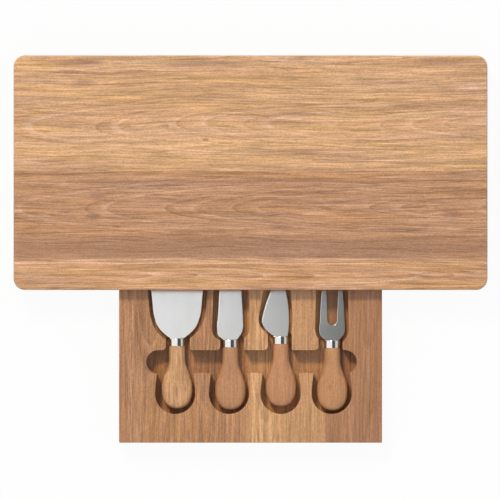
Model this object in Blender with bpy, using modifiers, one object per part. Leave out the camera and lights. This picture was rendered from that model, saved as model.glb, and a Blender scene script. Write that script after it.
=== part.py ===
"""Cheese board: a serving top of three staves over a drawer that holds four cheese tools.

The drawer stands open at its stop. +X is to the right, -Y is the side that the drawer
opens to, and the origin is on the surface that the feet stand on, under the middle of
the open board. All sizes are in metres.
"""

import math
from dataclasses import dataclass

import bmesh
import bpy
from mathutils import Vector
from mathutils.geometry import interpolate_bezier

# Gaps between pieces that touch
GLUE_GAP = 0.0003
SEAT_GAP = 0.0003

# How far a cutter runs past what it cuts
OVERRUN = 0.003

# Serving top, its staves named from the front
BOARD_WIDTH = 0.400
TOP_STAVE_DEPTHS = {"front": 0.0265, "middle": 0.0739, "back": 0.0976}
TOP_THICKNESS = 0.0125
CORNER_RADIUS = 0.0098
TOP_EDGE_ROUND = 0.0016

# Base: two side blocks and a back rail
BASE_INSET = 0.0008
BASE_EDGE_ROUND = 0.0010
RAIL_DEPTH = 0.0180

# Drawer, its staves named from the left
DRAWER_STAVE_WIDTHS = {"left": 0.1085, "middle": 0.0656, "right": 0.0479}
DRAWER_THICKNESS = 0.0190
DRAWER_TRAVEL = 0.1289
DRAWER_EDGE_ROUND = 0.0006
DRAWER_TOP_CLEARANCE = 0.0008
DRAWER_SIDE_CLEARANCE = 0.0008
DRAWER_FLOOR_CLEARANCE = 0.0010
DRAWER_REAR_CLEARANCE = 0.0006

# Finger pull under the drawer's front edge
PULL_RADIUS = 0.0075
PULL_LENGTH = 0.0800
PULL_END_ROUND = 0.0050

# Runners, glued into the side blocks and held by grooves in the drawer's sides
RUNNER_HEIGHT = 0.0060
RUNNER_EMBED = 0.0040
RUNNER_REACH = 0.0034
RUNNER_PLAY = 0.0006
RUNNER_SETBACK = 0.0140
RUNNER_EDGE_ROUND = 0.0004
DRAWER_GROOVE_SETBACK = 0.0125

# Stop dowels, which stand in the drawer and run in grooves under the top
STOP_DIAMETER = 0.0060
STOP_DEPTH_IN_DRAWER = 0.0070
STOP_STANDING = 0.0034
STOP_CHAMFER = 0.0005
STOP_FROM_SIDE = 0.0120
STOP_FROM_REAR = 0.0080
STOP_GROOVE_PLAY = 0.0005
STOP_GROOVE_DEPTH = 0.0036
STOP_GROOVE_END_SHARE = 0.999
STOP_END_PLAY = 0.0010

# Rubber feet and their screws
FOOT_HEIGHT = 0.0040
FOOT_TOP_RADIUS = 0.0070
FOOT_BOTTOM_RADIUS = 0.0063
FOOT_EDGE_ROUND = 0.0006
FOOT_EDGE_CORNER_SHARE = 0.3
FOOT_INSET = 0.0220
FOOT_FLANGE = 0.0016
SCREW_HEAD_RADIUS = 0.0034
SCREW_HEAD_HEIGHT = 0.0015
SCREW_HEAD_DOME = 0.0005
SCREW_DOME_SHARES = ((0.8, 0.3), (0.5, 0.0))
SCREW_SHANK_RADIUS = 0.0015
SCREW_LENGTH = 0.0120
SCREW_POINT = 0.0030
SCREW_DRIVE_WIDTH = 0.0009
SCREW_DRIVE_SPAN = 0.0036
SCREW_DRIVE_DEPTH = 0.0008

# Routed pockets and finger channel
BLADE_POCKET_DEPTH = 0.0125
HANDLE_POCKET_DEPTH = 0.0160
POCKET_FROM_FRONT = 0.0243
BULB_POCKET_RADIUS = 0.0169
BULB_POCKET_MOUTH = 0.0146
NECK_POCKET_MOUTH = 0.0117
NECK_POCKET_WAIST = 0.0104
NECK_POCKET_LEAD = 0.0030
NECK_POCKET_ROUND = 0.0027
BLADE_POCKET_ROUND = 0.0050
CHANNEL_FROM_FRONT = 0.0682
CHANNEL_WIDTH = 0.0197
CHANNEL_LEFT_REACH = 0.0243
CHANNEL_RIGHT_REACH = 0.0211
CHANNEL_ARCH = 0.0008

# Cheese tools: what all four share
BLADE_THICKNESS = 0.0015
BLADE_NECK_WIDTH = 0.0116
BLADE_GRIND = 0.0011
TANG_WIDTH = 0.0060
TANG_LENGTH = 0.0300
FERRULE_RADIUS = 0.0069
FERRULE_LENGTH = 0.0065
FERRULE_WALL = 0.0006
FERRULE_EDGE_ROUND = 0.0006
HANDLE_LENGTH = 0.0525
HANDLE_NECK_LENGTH = 0.0105
HANDLE_NECK_RADIUS = 0.0068
HANDLE_BULB_WIDTH = 0.0260
HANDLE_BULB_THICKNESS = 0.0134
HANDLE_BULB_FROM_NECK = 0.0354
HANDLE_FLARE_LENGTH = 0.0225
SPIGOT_CHAMFER = 0.0005
FORK_SLOT_BASE_WIDTH = 0.0080
FORK_SLOT_TIP_WIDTH = 0.0116
FORK_SLOT_START = 0.0128

# How finely round shapes are cut into facets
ARC_STEPS = 6
SPAN_STEPS = 3
TURN_STEPS = 20
FERRULE_STEPS = 28
FERRULE_EDGE_STEPS = 3
HANDLE_SIDES = 22
FLARE_STEPS = 6
END_STEPS = 6

# Points closer than this are one point, and edges sharper than these stay crisp
WELD_DISTANCE = 0.000001
EDGE_DEGREES = 60
BLADE_CREASE_DEGREES = 35
HANDLE_CREASE_DEGREES = 50

# How full the handle's end is in plan and its section across, where 0.5 is an ellipse
HANDLE_END_FULLNESS_SHARE = 0.565
HANDLE_SECTION_FULLNESS_SHARE = 0.545
HANDLE_END_SHARE = 0.997

# Blade sides from shoulder to tip: shares of the blade's length and of its width
PLANE_SIDE_SHARES = (
    (0.035, 0.160), (0.105, 0.262), (0.174, 0.333), (0.250, 0.384),
    (0.340, 0.416), (0.500, 0.437), (0.660, 0.457), (0.940, 0.494),
)
SPREADER_LEFT_SHARES = (
    (0.012, 0.340), (0.050, 0.460), (0.110, 0.500), (0.180, 0.510),
    (0.350, 0.478), (0.625, 0.440), (0.850, 0.405),
)
SPREADER_RIGHT_SHARES = (
    (0.025, 0.310), (0.070, 0.400), (0.120, 0.463), (0.180, 0.490),
    (0.350, 0.478), (0.625, 0.430), (0.850, 0.395),
)
POINTED_LEFT_SHARES = (
    (0.028, 0.316), (0.078, 0.480), (0.128, 0.597), (0.177, 0.671), (0.228, 0.693),
    (0.277, 0.676), (0.326, 0.640), (0.426, 0.558), (0.525, 0.455), (0.610, 0.377),
    (0.800, 0.200), (0.950, 0.060),
)
POINTED_RIGHT_SHARES = (
    (0.078, 0.273), (0.177, 0.299), (0.252, 0.307), (0.326, 0.299),
    (0.426, 0.273), (0.610, 0.185), (0.800, 0.095), (0.950, 0.030),
)
FORK_SIDE_SHARES = (
    (0.020, 0.310), (0.055, 0.400), (0.090, 0.462), (0.150, 0.500),
    (0.260, 0.493), (0.370, 0.481), (0.470, 0.465), (0.650, 0.420), (0.940, 0.345),
)

# Where the ground edge fades in behind the shoulder and out before the tip
GRIND_START_SHARE = 0.10
GRIND_FADE_SHARE = 0.15
GRIND_TIP_FADE_SHARE = 0.12

# Wood and metal colours, linear
PALE_TAN = (0.60, 0.36, 0.20)
PINK_BROWN = (0.44, 0.24, 0.14)
ORANGE_TAN = (0.58, 0.32, 0.16)
BASE_BROWN = (0.46, 0.26, 0.15)
RUNNER_TAN = (0.50, 0.31, 0.18)
DRAWER_PINK = (0.45, 0.23, 0.13)
DRAWER_PALE = (0.58, 0.34, 0.17)
DRAWER_DARK = (0.38, 0.19, 0.10)
STEEL_GREY = (0.62, 0.62, 0.62)
RUBBER_BLACK = (0.02, 0.02, 0.02)
SCREW_GREY = (0.45, 0.45, 0.46)


# Cheese tools: each one's place in the drawer, from its middle and from its front edge
TOOL_AXES = {"plane_knife": -0.0620, "spreader": -0.0170, "pointed_knife": 0.0256, "fork": 0.0690}
HANDLE_ENDS = {"plane_knife": 0.0286, "spreader": 0.0275, "pointed_knife": 0.0303, "fork": 0.0269}

# Cheese tools: each one's blade
BLADE_LENGTHS = {"plane_knife": 0.0620, "spreader": 0.0680, "pointed_knife": 0.0650, "fork": 0.0660}
BLADE_WIDTHS = {"plane_knife": 0.0488, "spreader": 0.0221, "pointed_knife": 0.0231, "fork": 0.0214}
TIP_WIDTHS = {"plane_knife": 0.0488, "spreader": 0.0164, "pointed_knife": 0.0010, "fork": 0.0142}
TIP_RADII = {"plane_knife": 0.0028, "spreader": 0.0060, "pointed_knife": 0.0002, "fork": 0.0004}
SIDE_SHARES = {
    "plane_knife": (PLANE_SIDE_SHARES, PLANE_SIDE_SHARES),
    "spreader": (SPREADER_LEFT_SHARES, SPREADER_RIGHT_SHARES),
    "pointed_knife": (POINTED_LEFT_SHARES, POINTED_RIGHT_SHARES),
    "fork": (FORK_SIDE_SHARES, FORK_SIDE_SHARES),
}
TIP_GROUND = {"plane_knife": True, "spreader": False, "pointed_knife": False, "fork": False}
SLOTTED = {"plane_knife": False, "spreader": False, "pointed_knife": False, "fork": True}

# Cheese tools: how far each part of a pocket is from the tool's own middle
BULB_SHIFTS = {"plane_knife": -0.0016, "spreader": -0.0012, "pointed_knife": -0.0002, "fork": -0.0005}
NECK_SHIFTS = {"plane_knife": 0.0007, "spreader": 0.0016, "pointed_knife": -0.0009, "fork": -0.0014}
BLADE_SHIFTS = {"plane_knife": 0.0005, "spreader": 0.0008, "pointed_knife": 0.0, "fork": -0.0003}

# Cheese tools: room round each blade, and the pocket's width at its end
BLADE_CLEARANCES = {
    "plane_knife": 0.0031, "spreader": 0.0049, "pointed_knife": 0.0028, "fork": 0.0036,
}
POCKET_TIP_SHARES = {"plane_knife": 1.00, "spreader": 0.80, "pointed_knife": 0.46, "fork": 0.85}

HANDLE_COLOURS = {
    "plane_knife": (0.62, 0.38, 0.19),
    "spreader": (0.60, 0.36, 0.18),
    "pointed_knife": (0.52, 0.29, 0.15),
    "fork": (0.55, 0.32, 0.16),
}


@dataclass(frozen=True)
class Tool:
    """One cheese tool and the pocket that it lies in."""

    name: str
    axis_x: float
    handle_end: float
    blade_length: float
    blade_width: float
    tip_width: float
    tip_radius: float
    left_shares: tuple
    right_shares: tuple
    tip_ground: bool
    slotted: bool
    bulb_pocket_shift: float
    neck_pocket_shift: float
    blade_pocket_shift: float
    blade_clearance: float
    pocket_tip_share: float
    handle_colour: tuple


TOOLS = tuple(
    Tool(
        name=name,
        axis_x=axis_x,
        handle_end=HANDLE_ENDS[name],
        blade_length=BLADE_LENGTHS[name],
        blade_width=BLADE_WIDTHS[name],
        tip_width=TIP_WIDTHS[name],
        tip_radius=TIP_RADII[name],
        left_shares=SIDE_SHARES[name][0],
        right_shares=SIDE_SHARES[name][1],
        tip_ground=TIP_GROUND[name],
        slotted=SLOTTED[name],
        bulb_pocket_shift=BULB_SHIFTS[name],
        neck_pocket_shift=NECK_SHIFTS[name],
        blade_pocket_shift=BLADE_SHIFTS[name],
        blade_clearance=BLADE_CLEARANCES[name],
        pocket_tip_share=POCKET_TIP_SHARES[name],
        handle_colour=HANDLE_COLOURS[name],
    )
    for name, axis_x in TOOL_AXES.items()
)

# Sizes that follow from the ones above
BOARD_DEPTH = sum(TOP_STAVE_DEPTHS.values())
DRAWER_WIDTH = sum(DRAWER_STAVE_WIDTHS.values())
BASE_HEIGHT = DRAWER_TOP_CLEARANCE + DRAWER_THICKNESS + DRAWER_FLOOR_CLEARANCE - GLUE_GAP
BLADE_HALF = BLADE_THICKNESS / 2
CHANNEL_HALF = CHANNEL_WIDTH / 2

# Places along Y, with the open drawer and the board centred on the origin
BOARD_FRONT_Y = (DRAWER_TRAVEL - BOARD_DEPTH) / 2
BOARD_BACK_Y = BOARD_FRONT_Y + BOARD_DEPTH
RAIL_FRONT_Y = BOARD_BACK_Y - BASE_INSET - RAIL_DEPTH
DRAWER_FRONT_Y = BOARD_FRONT_Y - DRAWER_TRAVEL
DRAWER_LENGTH = RAIL_FRONT_Y - BOARD_FRONT_Y - DRAWER_REAR_CLEARANCE
DRAWER_BACK_Y = DRAWER_FRONT_Y + DRAWER_LENGTH
RUNNER_FRONT_Y = BOARD_FRONT_Y + RUNNER_SETBACK
RUNNER_BACK_Y = RAIL_FRONT_Y - GLUE_GAP
CHANNEL_Y = DRAWER_FRONT_Y + CHANNEL_FROM_FRONT
BULB_POCKET_Y = DRAWER_FRONT_Y + POCKET_FROM_FRONT + BULB_POCKET_RADIUS
STOP_Y = DRAWER_BACK_Y - STOP_FROM_REAR

# Places along X, on the right-hand side
BLOCK_INNER_X = DRAWER_WIDTH / 2 + DRAWER_SIDE_CLEARANCE
RUNNER_OUTER_X = BLOCK_INNER_X + RUNNER_EMBED
RUNNER_INNER_X = DRAWER_WIDTH / 2 - RUNNER_REACH
STOP_X = DRAWER_WIDTH / 2 - STOP_FROM_SIDE

# Heights
BASE_BOTTOM_Z = FOOT_HEIGHT + SEAT_GAP
BASE_TOP_Z = BASE_BOTTOM_Z + BASE_HEIGHT
TOP_BOTTOM_Z = BASE_TOP_Z + GLUE_GAP
TOP_Z = TOP_BOTTOM_Z + TOP_THICKNESS
DRAWER_TOP_Z = TOP_BOTTOM_Z - DRAWER_TOP_CLEARANCE
DRAWER_BOTTOM_Z = DRAWER_TOP_Z - DRAWER_THICKNESS
RUNNER_MIDDLE_Z = (DRAWER_TOP_Z + DRAWER_BOTTOM_Z) / 2
RUNNER_TOP_Z = RUNNER_MIDDLE_Z + RUNNER_HEIGHT / 2
RUNNER_BOTTOM_Z = RUNNER_MIDDLE_Z - RUNNER_HEIGHT / 2
BLADE_FLOOR_Z = DRAWER_TOP_Z - BLADE_POCKET_DEPTH
HANDLE_FLOOR_Z = DRAWER_TOP_Z - HANDLE_POCKET_DEPTH


# Scene and materials

def clear_scene():
    """Remove every object, so that the script can run again in the same file."""
    for item in list(bpy.data.objects):
        bpy.data.objects.remove(item, do_unlink=True)


def new_collection(name):
    """Make a collection in the scene."""
    collection = bpy.data.collections.new(name)
    bpy.context.scene.collection.children.link(collection)
    return collection


def new_material(name, colour, roughness, metallic=0.0):
    """Make a plain Principled material."""
    material = bpy.data.materials.new(name)
    material.use_nodes = True
    shader = material.node_tree.nodes["Principled BSDF"]
    shader.inputs["Base Color"].default_value = (*colour, 1.0)
    shader.inputs["Roughness"].default_value = roughness
    shader.inputs["Metallic"].default_value = metallic
    return material


def wood(name, colour):
    """Oiled wood of one tone."""
    return new_material(name, colour, 0.55)


def steel(name):
    """Polished blade steel."""
    return new_material(name, STEEL_GREY, 0.25, 1.0)


# Outlines in plan

def smooth_path(stations):
    """Points of a smooth curve through each station in turn."""
    ends = [stations[0], *stations, stations[-1]]
    path = []
    for before, start, end, after in zip(ends, ends[1:], ends[2:], ends[3:]):
        leaving = start + (end - before) / 6
        arriving = end - (after - start) / 6
        path.extend(interpolate_bezier(start, leaving, arriving, end, SPAN_STEPS + 1)[:-1])
    path.append(stations[-1])
    return [point.to_2d() for point in path]


def offset_path(path, distance):
    """The path moved sideways, to the left of its own direction for a positive distance."""
    moved = []
    for index, point in enumerate(path):
        before = path[max(index - 1, 0)]
        after = path[min(index + 1, len(path) - 1)]
        along = (after - before).normalized()
        moved.append(point + Vector((-along.y, along.x)) * distance)
    return moved


def fillet(before, corner, after, radius):
    """Arc that rounds a corner between two straight runs."""
    back = (before - corner).normalized()
    onward = (after - corner).normalized()
    half_angle = back.angle(onward) / 2
    reach = radius / math.tan(half_angle)
    centre = corner + (back + onward).normalized() * (radius / math.sin(half_angle))
    start = (corner + back * reach - centre).normalized()
    end = (corner + onward * reach - centre).normalized()
    return [centre + start.slerp(end, step / ARC_STEPS) * radius for step in range(ARC_STEPS + 1)]


def rounded_outline(corners):
    """Closed outline through corners given as (point, radius)."""
    outline = []
    for index, (corner, radius) in enumerate(corners):
        if radius:
            before = corners[index - 1][0]
            after = corners[(index + 1) % len(corners)][0]
            outline.extend(fillet(before, corner, after, radius))
        else:
            outline.append(corner)
    return outline


def rectangle_outline(left, right, front, back, radius):
    """Rectangle in plan with rounded corners."""
    places = ((left, front), (right, front), (right, back), (left, back))
    return rounded_outline([(Vector(place), radius) for place in places])


def arc_points(centre, radius, start_degrees, end_degrees, steps):
    """Points along an arc, both ends included."""
    points = []
    for step in range(steps + 1):
        angle = math.radians(start_degrees + (end_degrees - start_degrees) * step / steps)
        points.append(centre + Vector((math.cos(angle), math.sin(angle))) * radius)
    return points


# Solids

def link(name, mesh, collection, parent=None, material=None):
    """Put a mesh into the scene under a name."""
    item = bpy.data.objects.new(name, mesh)
    collection.objects.link(item)
    item.parent = parent
    if material:
        mesh.materials.clear()
        mesh.materials.append(material)
    return item


def shade(mesh, degrees):
    """Smooth shading, with edges sharper than the angle kept crisp."""
    mesh.shade_smooth()
    mesh.set_sharp_from_angle(angle=math.radians(degrees))


def prism_mesh(name, outline, low, high):
    """Mesh of a flat outline raised between two heights."""
    curve = bpy.data.curves.new(name, "CURVE")
    curve.dimensions = "2D"
    curve.fill_mode = "BOTH"
    curve.extrude = (high - low) / 2
    spline = curve.splines.new("POLY")
    spline.points.add(len(outline) - 1)
    for point, place in zip(spline.points, outline):
        point.co = (place.x, place.y, 0.0, 1.0)
    spline.use_cyclic_u = True
    guide = bpy.data.objects.new(name, curve)
    bpy.context.scene.collection.objects.link(guide)
    evaluated = guide.evaluated_get(bpy.context.evaluated_depsgraph_get())
    mesh = bpy.data.meshes.new_from_object(evaluated)
    bpy.data.objects.remove(guide, do_unlink=True)
    body = bmesh.new()
    body.from_mesh(mesh)
    bmesh.ops.translate(body, vec=(0.0, 0.0, (high + low) / 2), verts=body.verts)
    bmesh.ops.remove_doubles(body, verts=body.verts, dist=WELD_DISTANCE)
    bmesh.ops.recalc_face_normals(body, faces=body.faces)
    body.to_mesh(mesh)
    body.free()
    mesh.name = name
    return mesh


def box_mesh(name, low, high):
    """Mesh of a box between two opposite corners."""
    body = bmesh.new()
    bmesh.ops.create_cube(body, size=1.0)
    middle = (Vector(low) + Vector(high)) / 2
    bmesh.ops.scale(body, vec=Vector(high) - Vector(low), verts=body.verts)
    bmesh.ops.translate(body, vec=middle, verts=body.verts)
    mesh = bpy.data.meshes.new(name)
    body.to_mesh(mesh)
    body.free()
    return mesh


def loft_mesh(name, rings):
    """Mesh of a skin over rings of as many points each, closed at both ends."""
    body = bmesh.new()
    layers = [[body.verts.new(point) for point in ring] for ring in rings]
    for lower, upper in zip(layers, layers[1:]):
        for index in range(len(lower)):
            beside = (index + 1) % len(lower)
            body.faces.new((lower[index], lower[beside], upper[beside], upper[index]))
    body.faces.new(layers[0])
    body.faces.new(layers[-1])
    bmesh.ops.recalc_face_normals(body, faces=body.faces)
    mesh = bpy.data.meshes.new(name)
    body.to_mesh(mesh)
    body.free()
    return mesh


def turned(name, profile, collection, parent=None, material=None, closed=True,
           steps=TURN_STEPS):
    """A profile of (radius, height) turned about the piece's own Z axis."""
    mesh = bpy.data.meshes.new(name)
    points = [(radius, 0.0, height) for radius, height in profile]
    edges = [(index, index + 1) for index in range(len(points) - 1)]
    if closed:
        edges.append((len(points) - 1, 0))
    mesh.from_pydata(points, edges, [])
    item = link(name, mesh, collection, parent, material)
    screw = item.modifiers.new("turn", "SCREW")
    screw.steps = steps
    screw.render_steps = steps
    screw.use_merge_vertices = True
    screw.merge_threshold = WELD_DISTANCE
    screw.use_smooth_shade = False
    return item


def bevel(item, width, segments=2):
    """Round the sharp edges."""
    modifier = item.modifiers.new("edges", "BEVEL")
    modifier.width = width
    modifier.segments = segments
    modifier.limit_method = "ANGLE"
    modifier.angle_limit = math.radians(EDGE_DEGREES)


def boolean(item, cutter, operation="DIFFERENCE"):
    """Cut a piece by a cutter, or keep what lies inside it."""
    modifier = item.modifiers.new(cutter.name, "BOOLEAN")
    modifier.operation = operation
    modifier.object = cutter
    modifier.solver = "EXACT"


def as_cutter(name, mesh, parent=None):
    """Put a mesh among the cutters, out of the render."""
    return hide(link(name, mesh, CUTTERS, parent))


def hide(cutter):
    """Show a cutter as wire only."""
    cutter.hide_render = True
    cutter.display_type = "WIRE"
    return cutter


def slice_along(sizes, start):
    """Spans of glued staves, each cut back by half a glue line where it meets another."""
    spans = {}
    names = list(sizes)
    for name in names:
        end = start + sizes[name]
        low = start - OVERRUN if name == names[0] else start + GLUE_GAP / 2
        high = end + OVERRUN if name == names[-1] else end - GLUE_GAP / 2
        spans[name] = (low, high)
        start = end
    return spans


# Serving top

def build_top():
    """Three staves cut from one rounded slab, with the stop grooves underneath."""
    half = BOARD_WIDTH / 2
    outline = rectangle_outline(-half, half, BOARD_FRONT_Y, BOARD_BACK_Y, CORNER_RADIUS)
    grooves = [stop_groove(side, sign) for side, sign in (("left", -1), ("right", 1))]
    colours = {"front": ORANGE_TAN, "middle": PINK_BROWN, "back": PALE_TAN}
    for name, (low, high) in slice_along(TOP_STAVE_DEPTHS, BOARD_FRONT_Y).items():
        node = f"top_stave_{name}"
        stave = link(node, prism_mesh(node, outline, TOP_BOTTOM_Z, TOP_Z), PARTS, None,
                     wood(node, colours[name]))
        bevel(stave, TOP_EDGE_ROUND, 3)
        for groove in grooves:
            boolean(stave, groove)
        reach = half + OVERRUN
        span = box_mesh(f"{node}_span", (-reach, low, TOP_BOTTOM_Z - OVERRUN),
                        (reach, high, TOP_Z + OVERRUN))
        boolean(stave, as_cutter(f"{node}_span", span), "INTERSECT")


def stop_groove(side, sign):
    """Blind groove under the top that a stop dowel runs in."""
    half = STOP_DIAMETER / 2 + STOP_GROOVE_PLAY
    front = STOP_Y - STOP_DIAMETER / 2 - SEAT_GAP
    back = STOP_Y + DRAWER_TRAVEL + STOP_DIAMETER / 2 + STOP_END_PLAY
    middle = sign * STOP_X
    outline = rectangle_outline(middle - half, middle + half, front, back,
                                half * STOP_GROOVE_END_SHARE)
    mesh = prism_mesh(f"stop_groove_{side}", outline, TOP_BOTTOM_Z - OVERRUN,
                      TOP_BOTTOM_Z + STOP_GROOVE_DEPTH)
    return as_cutter(f"stop_groove_{side}", mesh)


# Base and feet

def build_base():
    """Side blocks and back rail, cut from the top's outline drawn in a little."""
    half = BOARD_WIDTH / 2 - BASE_INSET
    front = BOARD_FRONT_Y + BASE_INSET
    back = BOARD_BACK_Y - BASE_INSET
    outline = rectangle_outline(-half, half, front, back, CORNER_RADIUS - BASE_INSET)
    reach = half + OVERRUN
    low = BASE_BOTTOM_Z - OVERRUN
    high = BASE_TOP_Z + OVERRUN
    rail_half = BLOCK_INNER_X - GLUE_GAP
    spans = {
        "base_block_left": ((-reach, front - OVERRUN, low), (-BLOCK_INNER_X, back + OVERRUN, high)),
        "base_block_right": ((BLOCK_INNER_X, front - OVERRUN, low), (reach, back + OVERRUN, high)),
        "base_rail_back": ((-rail_half, RAIL_FRONT_Y, low), (rail_half, back + OVERRUN, high)),
    }
    pieces = {}
    for node, (start, end) in spans.items():
        piece = link(node, prism_mesh(node, outline, BASE_BOTTOM_Z, BASE_TOP_Z), PARTS, None,
                     wood(node, BASE_BROWN))
        bevel(piece, BASE_EDGE_ROUND)
        boolean(piece, as_cutter(f"{node}_span", box_mesh(f"{node}_span", start, end)), "INTERSECT")
        pieces[node] = piece
    return pieces


def build_runner(side, sign, block):
    """One runner strip, and the groove that it is glued into."""
    node = f"runner_{side}"
    inner, outer = sorted((sign * RUNNER_INNER_X, sign * RUNNER_OUTER_X))
    strip = link(node, box_mesh(node, (inner, RUNNER_FRONT_Y, RUNNER_BOTTOM_Z),
                                (outer, RUNNER_BACK_Y, RUNNER_TOP_Z)), PARTS, None,
                 wood(node, RUNNER_TAN))
    bevel(strip, RUNNER_EDGE_ROUND)
    start, end = sorted((sign * (BLOCK_INNER_X - OVERRUN), sign * (RUNNER_OUTER_X + GLUE_GAP)))
    groove = box_mesh(f"{node}_seat",
                      (start, RUNNER_FRONT_Y - GLUE_GAP, RUNNER_BOTTOM_Z - GLUE_GAP),
                      (end, RUNNER_BACK_Y + GLUE_GAP, RUNNER_TOP_Z + GLUE_GAP))
    boolean(block, as_cutter(f"{node}_seat", groove))


def build_foot(corner, place, block):
    """One rubber foot, its screw, and the screw's hole in the block above."""
    bore = SCREW_SHANK_RADIUS + SEAT_GAP
    recess = SCREW_HEAD_RADIUS + SEAT_GAP
    flange = FOOT_HEIGHT - FOOT_FLANGE
    rim = FOOT_BOTTOM_RADIUS
    corner_cut = FOOT_EDGE_ROUND * FOOT_EDGE_CORNER_SHARE
    foot = turned(f"foot_{corner}", (
        (bore, FOOT_HEIGHT),
        (FOOT_TOP_RADIUS, FOOT_HEIGHT),
        (rim, FOOT_EDGE_ROUND),
        (rim - corner_cut, corner_cut),
        (rim - FOOT_EDGE_ROUND, 0.0),
        (recess, 0.0),
        (recess, flange),
        (bore, flange),
    ), PARTS, None, new_material(f"foot_{corner}", RUBBER_BLACK, 0.8))
    foot.location = place
    seat = flange - SEAT_GAP
    head = seat - SCREW_HEAD_HEIGHT
    point = seat + SCREW_LENGTH
    screw = turned(f"foot_screw_{corner}", (
        (0.0, point),
        (SCREW_SHANK_RADIUS, point - SCREW_POINT),
        (SCREW_SHANK_RADIUS, seat),
        (SCREW_HEAD_RADIUS, seat),
        (SCREW_HEAD_RADIUS, head + SCREW_HEAD_DOME),
        *((SCREW_HEAD_RADIUS * across, head + SCREW_HEAD_DOME * rise)
          for across, rise in SCREW_DOME_SHARES),
        (0.0, head),
    ), PARTS, None, new_material(f"foot_screw_{corner}", SCREW_GREY, 0.35, 1.0), closed=False)
    screw.location = place
    drive_half = SCREW_DRIVE_WIDTH / 2
    drive_reach = SCREW_DRIVE_SPAN / 2
    for index, (across, along) in enumerate(((drive_reach, drive_half), (drive_half, drive_reach))):
        name = f"drive_{corner}_{index}"
        slot = as_cutter(name, box_mesh(name, (-across, -along, head - OVERRUN),
                                        (across, along, head + SCREW_DRIVE_DEPTH)))
        slot.location = place
        boolean(screw, slot)
    hole = turned(f"pilot_{corner}", (
        (0.0, point + SEAT_GAP),
        (bore, point + SEAT_GAP - SCREW_POINT / 2),
        (bore, BASE_BOTTOM_Z - OVERRUN),
        (0.0, BASE_BOTTOM_Z - OVERRUN),
    ), CUTTERS, closed=False)
    hole.location = place
    boolean(block, hide(hole))


# Drawer

def build_drawer():
    """Three staves cut from one routed blank, with its two stop dowels."""
    slide = bpy.data.objects.new("drawer_slide", None)
    PARTS.objects.link(slide)
    slide.location = (0.0, DRAWER_FRONT_Y, DRAWER_TOP_Z)
    cutters = drawer_cutters()
    half = DRAWER_WIDTH / 2
    colours = {"left": DRAWER_PINK, "middle": DRAWER_PALE, "right": DRAWER_DARK}
    for name, (low, high) in slice_along(DRAWER_STAVE_WIDTHS, -half).items():
        node = f"drawer_stave_{name}"
        blank = box_mesh(node, (-half, 0.0, -DRAWER_THICKNESS), (half, DRAWER_LENGTH, 0.0))
        stave = link(node, blank, PARTS, slide, wood(node, colours[name]))
        bevel(stave, DRAWER_EDGE_ROUND)
        for cutter in cutters:
            boolean(stave, cutter)
        span = box_mesh(f"{node}_span", (low, -OVERRUN, -DRAWER_THICKNESS - OVERRUN),
                        (high, DRAWER_LENGTH + OVERRUN, OVERRUN))
        boolean(stave, as_cutter(f"{node}_span", span, slide), "INTERSECT")
    for side, sign in (("left", -1), ("right", 1)):
        build_stop(side, sign, slide)
    return slide


def build_stop(side, sign, slide):
    """Stop dowel that stands in the drawer near a rear corner."""
    node = f"stop_dowel_{side}"
    low = SEAT_GAP - STOP_DEPTH_IN_DRAWER
    body = bmesh.new()
    bmesh.ops.create_cone(body, cap_ends=True, segments=TURN_STEPS, radius1=STOP_DIAMETER / 2,
                          radius2=STOP_DIAMETER / 2, depth=STOP_STANDING - low)
    mesh = bpy.data.meshes.new(node)
    body.to_mesh(mesh)
    body.free()
    dowel = link(node, mesh, PARTS, slide, wood(node, RUNNER_TAN))
    dowel.location = (sign * STOP_X, STOP_Y - DRAWER_FRONT_Y, (STOP_STANDING + low) / 2)
    bevel(dowel, STOP_CHAMFER, 1)


def drawer_cutters():
    """Every cut in the drawer, in world places."""
    cutters = [finger_channel(), finger_pull()]
    for tool in TOOLS:
        cutters.append(bulb_pocket(tool))
        cutters.append(neck_pocket(tool))
        cutters.append(blade_pocket(tool))
    for side, sign in (("left", -1), ("right", 1)):
        cutters.append(runner_groove(side, sign))
        cutters.append(stop_hole(side, sign))
    return cutters


def routed(name, outline, floor):
    """Cutter for a pocket routed down to a floor height."""
    return as_cutter(name, prism_mesh(name, outline, floor, DRAWER_TOP_Z + OVERRUN))


def finger_channel():
    """Channel across all the handles, its near edge arched between pockets."""
    centres = [tool.axis_x + tool.bulb_pocket_shift for tool in TOOLS]
    left = Vector((centres[0] - CHANNEL_LEFT_REACH + CHANNEL_HALF, CHANNEL_Y))
    right = Vector((centres[-1] + CHANNEL_RIGHT_REACH - CHANNEL_HALF, CHANNEL_Y))
    outline = arc_points(left, CHANNEL_HALF, 90, 270, 2 * ARC_STEPS)
    near = CHANNEL_Y - CHANNEL_HALF
    for start, end in zip(centres, centres[1:]):
        low = start + BULB_POCKET_MOUTH
        high = end - BULB_POCKET_MOUTH
        for step in range(ARC_STEPS + 1):
            share = step / ARC_STEPS
            rise = CHANNEL_ARCH * math.sin(math.pi * share)
            outline.append(Vector((low + (high - low) * share, near + rise)))
    outline.extend(arc_points(right, CHANNEL_HALF, -90, 90, 2 * ARC_STEPS))
    return routed("finger_channel", outline, HANDLE_FLOOR_Z)


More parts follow.
